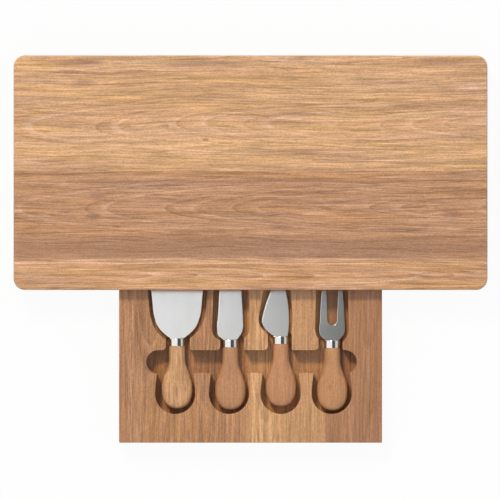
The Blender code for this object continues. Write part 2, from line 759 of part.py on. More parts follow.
def bulb_pocket(tool):
    """Pocket round the broad end of a handle, open to the channel."""
    middle = tool.axis_x + tool.bulb_pocket_shift
    outline = arc_points(Vector((middle, BULB_POCKET_Y)), BULB_POCKET_RADIUS, 180, 360, 3 * ARC_STEPS)
    rising = []
    for step in range(1, ARC_STEPS + 1):
        share = step / ARC_STEPS
        ease = (1 - math.cos(math.pi * share)) / 2
        half = BULB_POCKET_RADIUS + (BULB_POCKET_MOUTH - BULB_POCKET_RADIUS) * ease
        rising.append((half, BULB_POCKET_Y + (CHANNEL_Y - BULB_POCKET_Y) * share))
    outline.extend(Vector((middle + half, height)) for half, height in rising)
    outline.extend(Vector((middle - half, height)) for half, height in reversed(rising))
    return routed(f"{tool.name}_bulb_pocket", outline, HANDLE_FLOOR_Z)


def neck_pocket(tool):
    """Deep pocket round the ferrule and the handle's neck."""
    middle = tool.axis_x + tool.neck_pocket_shift
    shoulder = shoulder_y(tool)
    corners = (
        (-NECK_POCKET_MOUTH, CHANNEL_Y, 0.0),
        (NECK_POCKET_MOUTH, CHANNEL_Y, 0.0),
        (NECK_POCKET_MOUTH, CHANNEL_Y + CHANNEL_HALF, 0.0),
        (NECK_POCKET_WAIST, shoulder, 0.0),
        (NECK_POCKET_WAIST, shoulder + NECK_POCKET_LEAD, NECK_POCKET_ROUND),
        (-NECK_POCKET_WAIST, shoulder + NECK_POCKET_LEAD, NECK_POCKET_ROUND),
        (-NECK_POCKET_WAIST, shoulder, 0.0),
        (-NECK_POCKET_MOUTH, CHANNEL_Y + CHANNEL_HALF, 0.0),
    )
    outline = rounded_outline([(Vector((middle + x, y)), radius) for x, y, radius in corners])
    return routed(f"{tool.name}_neck_pocket", outline, HANDLE_FLOOR_Z)


def blade_pocket(tool):
    """Shallower pocket that follows the blade, with room round it."""
    shift = Vector((tool.axis_x + tool.blade_pocket_shift, shoulder_y(tool)))
    sides = []
    for sign, shares in ((-1, tool.left_shares), (1, tool.right_shares)):
        widest = max(range(len(shares)), key=lambda index: shares[index][1])
        stations = shares[:widest + 1]
        if len(stations) == len(shares):
            stations = shares[:-1]
        tip_share = shares[widest][1] * tool.pocket_tip_share
        path = offset_path(blade_side(tool, stations, sign), -sign * tool.blade_clearance)
        corner = Vector((sign * (tool.blade_width * tip_share + tool.blade_clearance),
                         tool.blade_length + tool.blade_clearance))
        sides.append((path, corner))
    (left_path, left_tip), (right_path, right_tip) = sides
    outline = list(left_path)
    outline.extend(fillet(left_path[-1], left_tip, right_tip, BLADE_POCKET_ROUND))
    outline.extend(fillet(left_tip, right_tip, right_path[-1], BLADE_POCKET_ROUND))
    outline.extend(reversed(right_path))
    return routed(f"{tool.name}_blade_pocket", [point + shift for point in outline], BLADE_FLOOR_Z)


def runner_groove(side, sign):
    """Groove in a side of the drawer, blind at the front."""
    start = sign * (RUNNER_INNER_X - RUNNER_PLAY)
    low, high = sorted((start, sign * (DRAWER_WIDTH / 2 + OVERRUN)))
    name = f"runner_groove_{side}"
    return as_cutter(name, box_mesh(
        name,
        (low, DRAWER_FRONT_Y + DRAWER_GROOVE_SETBACK, RUNNER_BOTTOM_Z - RUNNER_PLAY),
        (high, DRAWER_BACK_Y + OVERRUN, RUNNER_TOP_Z + SEAT_GAP)))


def stop_hole(side, sign):
    """Blind hole that a stop dowel is glued into."""
    radius = STOP_DIAMETER / 2 + GLUE_GAP
    hole = turned(f"stop_hole_{side}", (
        (0.0, DRAWER_TOP_Z + OVERRUN),
        (radius, DRAWER_TOP_Z + OVERRUN),
        (radius, DRAWER_TOP_Z - STOP_DEPTH_IN_DRAWER),
        (0.0, DRAWER_TOP_Z - STOP_DEPTH_IN_DRAWER),
    ), CUTTERS, closed=False)
    hole.location = (sign * STOP_X, STOP_Y, 0.0)
    return hide(hole)


def finger_pull():
    """Cove under the front edge of the drawer."""
    body = bmesh.new()
    bmesh.ops.create_cone(body, cap_ends=True, segments=TURN_STEPS, radius1=PULL_RADIUS,
                          radius2=PULL_RADIUS, depth=PULL_LENGTH)
    mesh = bpy.data.meshes.new("finger_pull")
    body.to_mesh(mesh)
    body.free()
    cove = as_cutter("finger_pull", mesh)
    cove.rotation_euler = (0.0, math.radians(90), 0.0)
    cove.location = (0.0, DRAWER_FRONT_Y, DRAWER_BOTTOM_Z)
    bevel(cove, PULL_END_ROUND, 4)
    return cove


# Cheese tools

def shoulder_y(tool):
    """Where the blade's shoulder meets the ferrule, along Y."""
    return (DRAWER_FRONT_Y + tool.handle_end + HANDLE_LENGTH + SEAT_GAP
            + FERRULE_LENGTH + SEAT_GAP)


def rest_tilt(tool):
    """Angle at which a tool lies, tip down on its floor and ferrule on the deeper one."""
    drop = FERRULE_RADIUS - BLADE_HALF
    rise = HANDLE_POCKET_DEPTH - BLADE_POCKET_DEPTH
    reach = math.hypot(tool.blade_length + SEAT_GAP, drop)
    return math.atan2(drop, tool.blade_length + SEAT_GAP) - math.asin(rise / reach)


def blade_side(tool, shares, sign):
    """Smooth side of a blade in plan, from its shoulder at the origin towards the tip."""
    stations = [Vector((sign * BLADE_NECK_WIDTH / 2, 0.0, 0.0))]
    for along, across in shares:
        stations.append(Vector((sign * tool.blade_width * across, tool.blade_length * along, 0.0)))
    return smooth_path(stations)


def grind_share(tool, height):
    """How much of the ground edge a point has, by its height above the shoulder."""
    place = height / tool.blade_length
    rising = (place - GRIND_START_SHARE) / GRIND_FADE_SHARE
    falling = 1.0 if tool.tip_ground else (1 - place) / GRIND_TIP_FADE_SHARE
    return max(0.0, min(1.0, rising, falling))


def blade_outline(tool):
    """Outline of blade and tang as (point, share of the ground edge)."""
    left = blade_side(tool, tool.left_shares, -1)
    right = blade_side(tool, tool.right_shares, 1)
    half_tip = tool.tip_width / 2
    left_tip = Vector((-half_tip, tool.blade_length))
    right_tip = Vector((half_tip, tool.blade_length))
    outline = [(point, grind_share(tool, point.y)) for point in left]
    tip_grind = 1.0 if tool.tip_ground else 0.0
    if tool.slotted:
        outline.extend((point, 0.0) for point in fork_tips(left_tip, right_tip))
    else:
        for point in fillet(left[-1], left_tip, right_tip, tool.tip_radius):
            outline.append((point, tip_grind))
        for point in fillet(left_tip, right_tip, right[-1], tool.tip_radius):
            outline.append((point, tip_grind))
    outline.extend((point, 0.0) for point in reversed(right))
    tang = TANG_WIDTH / 2
    for x, y in ((tang, 0.0), (tang, -TANG_LENGTH), (-tang, -TANG_LENGTH), (-tang, 0.0)):
        outline.append((Vector((x, y)), 0.0))
    return outline


def fork_tips(left_tip, right_tip):
    """Run from one tine's tip down round the slot and up to the other tine's tip."""
    base = FORK_SLOT_BASE_WIDTH / 2
    mouth = FORK_SLOT_TIP_WIDTH / 2
    slot_end = Vector((0.0, FORK_SLOT_START + base))
    run = [left_tip, Vector((-mouth, left_tip.y))]
    run.extend(arc_points(slot_end, base, 180, 360, 2 * ARC_STEPS))
    run.extend((Vector((mouth, right_tip.y)), right_tip))
    return run


def ground_outline(outline):
    """The outline drawn in wherever the edge is ground."""
    points = [point for point, _ in outline]
    ground = []
    for index, (point, share) in enumerate(outline):
        along = (points[(index + 1) % len(points)] - points[index - 1]).normalized()
        ground.append(point + Vector((along.y, -along.x)) * (BLADE_GRIND * share))
    return ground


def build_blade(tool, lie):
    """Flat blade with its tang, ground along the cutting edge."""
    outline = blade_outline(tool)
    full = [point for point, _ in outline]
    rings = []
    for points, height in ((full, 0.0), (ground_outline(outline), BLADE_THICKNESS)):
        rings.append([(point.x, point.y - tool.blade_length, height) for point in points])
    node = f"{tool.name}_blade"
    mesh = loft_mesh(node, rings)
    shade(mesh, BLADE_CREASE_DEGREES)
    link(node, mesh, PARTS, lie, steel(node))


def build_ferrule(tool, lie):
    """Drawn steel cap, closed in front but for the tang's slot."""
    inside = FERRULE_RADIUS - FERRULE_WALL
    rounding = arc_points(Vector((FERRULE_RADIUS - FERRULE_EDGE_ROUND,
                                  FERRULE_LENGTH - FERRULE_EDGE_ROUND)),
                          FERRULE_EDGE_ROUND, 90, 0, FERRULE_EDGE_STEPS)
    profile = [(0.0, FERRULE_LENGTH)]
    profile.extend((point.x, point.y) for point in rounding)
    profile.extend(((FERRULE_RADIUS, 0.0), (inside, 0.0), (inside, FERRULE_LENGTH - FERRULE_WALL),
                    (0.0, FERRULE_LENGTH - FERRULE_WALL)))
    node = f"{tool.name}_ferrule"
    cap = turned(node, profile, PARTS, lie, steel(node), closed=False, steps=FERRULE_STEPS)
    rear = -tool.blade_length - SEAT_GAP - FERRULE_LENGTH
    cap.location = (0.0, rear, BLADE_HALF)
    cap.rotation_euler = (math.radians(-90), 0.0, 0.0)
    boolean(cap, tang_cutter(f"{tool.name}_ferrule_slot", tool, lie, rear + FERRULE_LENGTH / 2))


def tang_cutter(name, tool, lie, rear):
    """Slot for the tang, from a place behind it to past the shoulder."""
    half = TANG_WIDTH / 2 + GLUE_GAP
    return as_cutter(name, box_mesh(name, (-half, rear, -GLUE_GAP),
                                    (half, OVERRUN - tool.blade_length, BLADE_THICKNESS + GLUE_GAP)),
                     lie)


def handle_stations():
    """Sections of a handle as (distance behind its front, half width, half thickness)."""
    spigot = FERRULE_RADIUS - FERRULE_WALL - GLUE_GAP
    spigot_length = FERRULE_LENGTH - FERRULE_WALL
    neck = HANDLE_NECK_RADIUS
    stations = [
        (-spigot_length, spigot - SPIGOT_CHAMFER, spigot - SPIGOT_CHAMFER),
        (SPIGOT_CHAMFER - spigot_length, spigot, spigot),
        (0.0, spigot, spigot),
        (0.0, neck, neck),
        (HANDLE_NECK_LENGTH, neck, neck),
    ]
    bulb_half = HANDLE_BULB_WIDTH / 2
    thick_half = HANDLE_BULB_THICKNESS / 2
    for step in range(1, FLARE_STEPS + 1):
        share = step / FLARE_STEPS
        ease = share * share * (3 - 2 * share)
        stations.append((HANDLE_NECK_LENGTH + HANDLE_FLARE_LENGTH * share,
                         neck + (bulb_half - neck) * ease,
                         neck + (thick_half - neck) * ease))
    end_length = HANDLE_LENGTH - HANDLE_BULB_FROM_NECK
    power = 1 / (1 - HANDLE_END_FULLNESS_SHARE)
    for step in range(END_STEPS + 1):
        reach = HANDLE_END_SHARE * math.sin(math.pi / 2 * step / END_STEPS)
        round_off = (1 - reach ** power) ** (1 / power)
        stations.append((HANDLE_BULB_FROM_NECK + end_length * reach,
                         bulb_half * round_off, thick_half * round_off))
    return stations


def section_ring(half_width, half_height, y, z):
    """Rounded section across a handle."""
    ring = []
    power = 2 * (1 - HANDLE_SECTION_FULLNESS_SHARE)
    for index in range(HANDLE_SIDES):
        angle = 2 * math.pi * index / HANDLE_SIDES
        across = math.copysign(abs(math.cos(angle)) ** power, math.cos(angle))
        upward = math.copysign(abs(math.sin(angle)) ** power, math.sin(angle))
        ring.append((half_width * across, y, z + half_height * upward))
    return ring


def round_ring(radius, y, z):
    """Round section, for the spigot inside the ferrule."""
    turns = [2 * math.pi * index / HANDLE_SIDES for index in range(HANDLE_SIDES)]
    return [(radius * math.cos(turn), y, z + radius * math.sin(turn)) for turn in turns]


def build_handle(tool, lie):
    """Turned and shaped wooden handle, its spigot in the ferrule and its bore on the tang."""
    front = -tool.blade_length - SEAT_GAP - FERRULE_LENGTH - SEAT_GAP
    rings = []
    for distance, half_width, half_height in handle_stations():
        if distance <= HANDLE_NECK_LENGTH:
            rings.append(round_ring(half_width, front - distance, BLADE_HALF))
        else:
            rings.append(section_ring(half_width, half_height, front - distance, BLADE_HALF))
    node = f"{tool.name}_handle"
    mesh = loft_mesh(node, rings)
    shade(mesh, HANDLE_CREASE_DEGREES)
    handle = link(node, mesh, PARTS, lie, wood(node, tool.handle_colour))
    bore_end = -tool.blade_length - TANG_LENGTH - 2 * GLUE_GAP
    boolean(handle, tang_cutter(f"{tool.name}_bore", tool, lie, bore_end))


def build_tool(tool, slide):
    """One tool on an empty at its tip, where it turns when its handle is lifted."""
    lie = bpy.data.objects.new(f"{tool.name}_lie", None)
    PARTS.objects.link(lie)
    lie.parent = slide
    lie.location = (tool.axis_x, shoulder_y(tool) + tool.blade_length - DRAWER_FRONT_Y,
                    BLADE_FLOOR_Z + SEAT_GAP - DRAWER_TOP_Z)
    lie.rotation_euler = (-rest_tilt(tool), 0.0, 0.0)
    build_blade(tool, lie)
    build_ferrule(tool, lie)
    build_handle(tool, lie)


# Whole board

def build():
    """Build every piece of the cheese board."""
    build_top()
    base = build_base()
    for side, sign in (("left", -1), ("right", 1)):
        block = base[f"base_block_{side}"]
        build_runner(side, sign, block)
        x = sign * (BOARD_WIDTH / 2 - FOOT_INSET)
        for end, y in (("front", BOARD_FRONT_Y + FOOT_INSET), ("back", BOARD_BACK_Y - FOOT_INSET)):
            build_foot(f"{end}_{side}", (x, y, 0.0), block)
    slide = build_drawer()
    for tool in TOOLS:
        build_tool(tool, slide)


clear_scene()
PARTS = new_collection("cheese_board")
CUTTERS = new_collection("cutters")
build()
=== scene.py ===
"""Looks of the cheese board: its glued top, its base, its drawer, its tools and the studio.

Every length is in metres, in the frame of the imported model: +X to the right along the board,
-Y the side that the drawer opens to, +Z up out of the serving surface.
"""
import logging
import math
from collections.abc import Iterable, Sequence
from dataclasses import dataclass, replace
from enum import Enum

import bmesh
import bpy
from mathutils import Matrix, Vector
from mathutils.geometry import interpolate_bezier


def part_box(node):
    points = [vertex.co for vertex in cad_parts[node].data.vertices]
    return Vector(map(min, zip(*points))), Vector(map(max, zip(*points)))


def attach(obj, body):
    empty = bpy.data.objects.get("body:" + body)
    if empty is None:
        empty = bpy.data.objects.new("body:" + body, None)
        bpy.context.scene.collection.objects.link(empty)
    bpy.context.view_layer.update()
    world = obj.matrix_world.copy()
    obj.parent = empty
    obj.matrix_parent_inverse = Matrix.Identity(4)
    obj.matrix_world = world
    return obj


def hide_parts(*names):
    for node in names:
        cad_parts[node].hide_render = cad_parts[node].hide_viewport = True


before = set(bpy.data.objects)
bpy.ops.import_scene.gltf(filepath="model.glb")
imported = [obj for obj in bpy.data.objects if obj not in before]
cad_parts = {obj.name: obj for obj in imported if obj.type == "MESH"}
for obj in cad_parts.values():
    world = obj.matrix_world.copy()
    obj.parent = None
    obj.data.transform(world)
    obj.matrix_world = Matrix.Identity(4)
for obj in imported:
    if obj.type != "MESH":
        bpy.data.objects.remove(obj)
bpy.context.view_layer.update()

LOG = logging.getLogger("cheese_board")

Colour = tuple[float, float, float]
Window = tuple[float, float]
Ramp = tuple[float, float, float, float]
Shares = tuple[tuple[float, float], ...]
Spans = dict[str, tuple[Vector, Vector]]
Outline = list[Vector]
Profile = Sequence[Sequence[float]]
Mesh = bpy.types.Mesh
Item = bpy.types.Object
Material = bpy.types.Material
Socket = bpy.types.NodeSocket

# Angle in degrees above which an edge stays crisp, and lengths too short to keep
CREASE = 32.0
WELD = 1e-6
SLIVER = 1e-7

# How many times smaller than its edge's radius a slab's corner can get
LEAST_CORNER = 20

# Numbers of a mix node's two colours and of its mixed colour
MIX_COLOURS = (6, 7)
MIXED_COLOUR = 2


class Side(Enum):
    """A side of the board, with its sign along X."""

    LEFT = -1
    RIGHT = 1

    @property
    def word(self) -> str:
        """The side as the nodes' names have it."""
        return self.name.lower()


class Body(Enum):
    """What moves as one."""

    BOARD = "board"
    DRAWER = "drawer"
    PLANE_KNIFE = "plane_knife"
    SPREADER = "spreader"
    POINTED_KNIFE = "pointed_knife"
    FORK = "fork"


class Grain(Enum):
    """The way that a piece's grain runs, as the order of (along, across, down) in (x, y, z)."""

    ALONG_X = (0, 1, 2)
    ALONG_Y = (1, 0, 2)


class Pattern(Enum):
    """The two patterns of a hard finish."""

    FINE = "fine"
    BROAD = "broad"


def tone(red: int, green: int, blue: int) -> Colour:
    """Turn a swatch into a linear colour.

    Args:
        red: Red from 0 to 255, as displayed.
        green: Green from 0 to 255.
        blue: Blue from 0 to 255.

    Returns:
        The colour as the shaders take it.
    """
    parts = []
    for value in (red, green, blue):
        share = value / 255
        parts.append(share / 12.92 if share <= 0.04045 else ((share + 0.055) / 1.055) ** 2.4)
    return parts[0], parts[1], parts[2]


# Outlines in plan


def quarter_turn(steps: int) -> list[float]:
    """List the angles of a quarter turn in even steps, both ends included."""
    return [math.pi / 2 * step / steps for step in range(steps + 1)]


def smooth_path(stations: Sequence[Vector], steps: int) -> Outline:
    """Draw a smooth curve through each station in turn.

    Args:
        stations: Places that the curve passes through.
        steps: Steps between two stations.

    Returns:
        Points of the curve, in plan.
    """
    ends = [stations[0], *stations, stations[-1]]
    path = []
    for before, start, end, after in zip(ends, ends[1:], ends[2:], ends[3:]):
        leaving = start + (end - before) / 6
        arriving = end - (after - start) / 6
        path.extend(interpolate_bezier(start, leaving, arriving, end, steps + 1)[:-1])
    path.append(stations[-1])
    return [point.to_2d() for point in path]


def offset_path(path: Outline, distances: Sequence[float]) -> Outline:
    """Move an open path sideways.

    Args:
        path: Points of the path.
        distances: How far each point moves to the left of the path's own direction.

    Returns:
        The moved points.
    """
    moved = []
    for index, point in enumerate(path):
        before = path[max(index - 1, 0)]
        after = path[min(index + 1, len(path) - 1)]
        along = (after - before).normalized()
        moved.append(point + Vector((-along.y, along.x)) * distances[index])
    return moved


def grown(outline: Outline, distances: float | Sequence[float]) -> Outline:
    """Grow a closed outline that runs anticlockwise.

    Args:
        outline: Points of the outline.
        distances: How far every point moves out, or each of them.

    Returns:
        The grown outline, with as many points.
    """
    if isinstance(distances, float):
        distances = [distances] * len(outline)
    moved = []
    for index, point in enumerate(outline):
        along = (outline[(index + 1) % len(outline)] - outline[index - 1]).normalized()
        moved.append(point + Vector((along.y, -along.x)) * distances[index])
    return moved


def fillet(before: Vector, corner: Vector, after: Vector, radius: float, steps: int) -> Outline:
    """Round a corner between two straight runs.

    Args:
        before: A place on the run that comes in.
        corner: The corner.
        after: A place on the run that goes out.
        radius: Radius of the arc.
        steps: Steps of the arc.

    Returns:
        Points of the arc.
    """
    back = (before - corner).normalized()
    onward = (after - corner).normalized()
    half_angle = back.angle(onward) / 2
    reach = radius / math.tan(half_angle)
    centre = corner + (back + onward).normalized() * (radius / math.sin(half_angle))
    start = (corner + back * reach - centre).normalized()
    end = (corner + onward * reach - centre).normalized()
    return [centre + start.slerp(end, step / steps) * radius for step in range(steps + 1)]


def arc(centre: Vector, radius: float, start: float, end: float, steps: int) -> Outline:
    """Draw an arc.

    Args:
        centre: Middle of the arc.
        radius: Its radius.
        start: Angle where it starts, in degrees.
        end: Angle where it ends, in degrees.
        steps: Steps along it.

    Returns:
        Points of the arc, both ends included.
    """
    points = []
    for step in range(steps + 1):
        angle = math.radians(start + (end - start) * step / steps)
        points.append(centre + Vector((math.cos(angle), math.sin(angle))) * radius)
    return points


def rounded_rectangle(low: Vector, high: Vector, radius: float, steps: int = 12) -> Outline:
    """Draw a rectangle with rounded corners.

    Args:
        low: Its corner at the front left.
        high: Its corner at the back right.
        radius: Radius of its corners.
        steps: Steps round each corner.

    Returns:
        The outline, anticlockwise.
    """
    centres = ((low.x + radius, low.y + radius, 180), (high.x - radius, low.y + radius, 270),
               (high.x - radius, high.y - radius, 0), (low.x + radius, high.y - radius, 90))
    outline = []
    for x, y, start in centres:
        outline.extend(arc(Vector((x, y)), radius, start, start + 90, steps))
    return outline


# Meshes


def finished(body: bmesh.types.BMesh, name: str, crease: float = CREASE) -> Mesh:
    """Turn a worked form into a mesh with smooth faces and crisp edges.

    Args:
        body: The form, which is freed.
        name: Name of the mesh.
        crease: Angle in degrees above which an edge stays crisp.

    Returns:
        The mesh.
    """
    bmesh.ops.recalc_face_normals(body, faces=body.faces)
    mesh = bpy.data.meshes.new(name)
    body.to_mesh(mesh)
    body.free()
    mesh.shade_smooth()
    mesh.set_sharp_from_angle(angle=math.radians(crease))
    return mesh


def loft(name: str, rings: Sequence[Profile], crease: float = CREASE) -> Mesh:
    """Skin rings of as many points each, and close both ends.

    Args:
        name: Name of the mesh.
        rings: Rings of points, in order.
        crease: Angle in degrees above which an edge stays crisp.

    Returns:
        The closed mesh.
    """
    body = bmesh.new()
    layers = [[body.verts.new(point) for point in ring] for ring in rings]
    for lower, upper in zip(layers, layers[1:]):
        for index in range(len(lower)):
            beside = (index + 1) % len(lower)
            body.faces.new((lower[index], lower[beside], upper[beside], upper[index]))
    body.faces.new(layers[0])
    body.faces.new(layers[-1])
    return finished(body, name, crease)


def raised(name: str, levels: Sequence[tuple[Outline, float]]) -> Mesh:
    """Skin outlines that lie at heights, given from the lowest up."""
    return loft(name, [[(point.x, point.y, height) for point in outline]
                       for outline, height in levels])


def block(name: str, low: Sequence[float], high: Sequence[float]) -> Mesh:
    """Make a plain block between its lowest and its highest corner."""
    corners = ((low[0], low[1]), (high[0], low[1]), (high[0], high[1]), (low[0], high[1]))
    return loft(name, [[(*corner, height) for corner in corners] for height in (low[2], high[2])])


def cushioned(name: str, low: Vector, high: Vector, radius: float, edge: float, steps: int) -> Mesh:
    """Make a slab with rounded corners in plan and rounded edges above and below.

    Args:
        name: Name of the mesh.
        low: Its lowest corner.
        high: Its highest corner.
        radius: Radius of its corners in plan.
        edge: Radius of its edges.
        steps: Steps round each edge.

    Returns:
        The mesh.
    """
    turns = quarter_turn(steps)
    levels = [(edge * (1 - math.sin(turn)), low.z + edge * (1 - math.cos(turn))) for turn in turns]
    levels += [(edge * (1 - math.cos(turn)), high.z - edge * (1 - math.sin(turn))) for turn in turns]
    least = edge / LEAST_CORNER
    rings = []
    for inset, height in levels:
        shrink = Vector((inset, inset))
        outline = rounded_rectangle(low.to_2d() + shrink, high.to_2d() - shrink,
                                    max(radius - inset, least))
        rings.append((outline, height))
    return raised(name, rings)


def turned(name: str, profile: Profile, steps: int = 48, crease: float = CREASE) -> Mesh:
    """Turn a profile about the Z axis.

    Args:
        name: Name of the mesh.
        profile: Points as (radius, height).
        steps: Steps round the axis.
        crease: Angle in degrees above which an edge stays crisp.

    Returns:
        The mesh.
    """
    body = bmesh.new()
    points = [body.verts.new((radius, 0.0, height)) for radius, height in profile]
    edges = [body.edges.new(pair) for pair in zip(points, points[1:])]
    bmesh.ops.spin(body, geom=points + edges, cent=(0.0, 0.0, 0.0), axis=(0.0, 0.0, 1.0),
                   angle=math.tau, steps=steps, use_merge=True)
    bmesh.ops.remove_doubles(body, verts=body.verts, dist=WELD)
    bmesh.ops.dissolve_degenerate(body, dist=SLIVER, edges=body.edges)
    return finished(body, name, crease)


class Bench:
    """Where blanks are cut. The cutters leave the scene with sweep."""

    def __init__(self) -> None:
        """Start with no cutter on the bench."""
        self.cutters: list[Item] = []

    def cutter(self, mesh: Mesh) -> Item:
        """Set a cutter out on the bench.

        Args:
            mesh: Its mesh.

        Returns:
            The cutter.
        """
        item = bpy.data.objects.new(mesh.name, mesh)
        bpy.context.scene.collection.objects.link(item)
        self.cutters.append(item)
        return item

    def cut(self, name: str, blank: Mesh, cutters: Iterable[Item], keep: Item | None = None) -> Mesh:
        """Cut a blank by cutters, and keep what lies inside one more.

        Args:
            name: Name of the mesh that is left.
            blank: What is cut.
            cutters: What is taken away.
            keep: What the rest is trimmed to.

        Returns:
            The cut mesh.
        """
        item = bpy.data.objects.new(name, blank)
        bpy.context.scene.collection.objects.link(item)
        steps = [(cutter, "DIFFERENCE") for cutter in cutters]
        if keep:
            steps.append((keep, "INTERSECT"))
        for cutter, operation in steps:
            modifier = item.modifiers.new(cutter.name, "BOOLEAN")
            modifier.object = cutter
            modifier.operation = operation
            modifier.solver = "EXACT"
        graph = bpy.context.evaluated_depsgraph_get()
        cut = bpy.data.meshes.new_from_object(item.evaluated_get(graph))
        bpy.data.objects.remove(item)
        body = bmesh.new()
        body.from_mesh(cut)
        return finished(body, name)

    def saw(self, blank: Mesh, spans: Spans, cutters: Sequence[Item] = ()) -> dict[str, Mesh]:
        """Saw a blank into pieces.

        Args:
            blank: What is sawn.
            spans: The lowest and highest corner that each node's piece is trimmed to.
            cutters: What is taken away from each.

        Returns:
            The mesh of each node.
        """
        pieces = {}
        for node, (low, high) in spans.items():
            span = self.cutter(block(f"{node}_span", low, high))
            pieces[node] = self.cut(node, blank.copy(), cutters, span)
        return pieces

    def sweep(self) -> None:
        """Take every cutter off the bench."""
        for item in self.cutters:
            bpy.data.objects.remove(item)
        self.cutters.clear()


def spans_along(axis: int, nodes: Sequence[str], overrun: float) -> Spans:
    """Share a glued blank out among its nodes, with each seam midway between two of them.

    Args:
        axis: 0 where the nodes lie side by side along X, and 1 along Y.
        nodes: The nodes, in order along the axis.
        overrun: How far the spans run past the blank.

    Returns:
        The lowest and highest corner of each node's span.
    """
    boxes = [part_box(node) for node in nodes]
    reach = Vector((overrun, overrun, overrun))
    low, high = boxes[0][0] - reach, boxes[-1][1] + reach
    seams = [(before[1][axis] + after[0][axis]) / 2 for before, after in zip(boxes, boxes[1:])]
    starts, ends = [low[axis], *seams], [*seams, high[axis]]
    spans = {}
    for node, start, end in zip(nodes, starts, ends):
        span_low, span_high = low.copy(), high.copy()
        span_low[axis], span_high[axis] = start, end
        spans[node] = (span_low, span_high)
    return spans


# Finishes


@dataclass(frozen=True)
class Layer:
    """A cloudy pattern: its cells to the metre, where it starts, and how fine it gets."""

    along: float
    across: float
    shift: float = 0.0
    detail: float = 3.0
    roughness: float = 0.6


@dataclass(frozen=True)
class Stain:
    """A soft patch drawn out along the grain, with its middle and half its size in metres."""

    along: float
    across: float
    half_length: float
    half_width: float
    strength: float


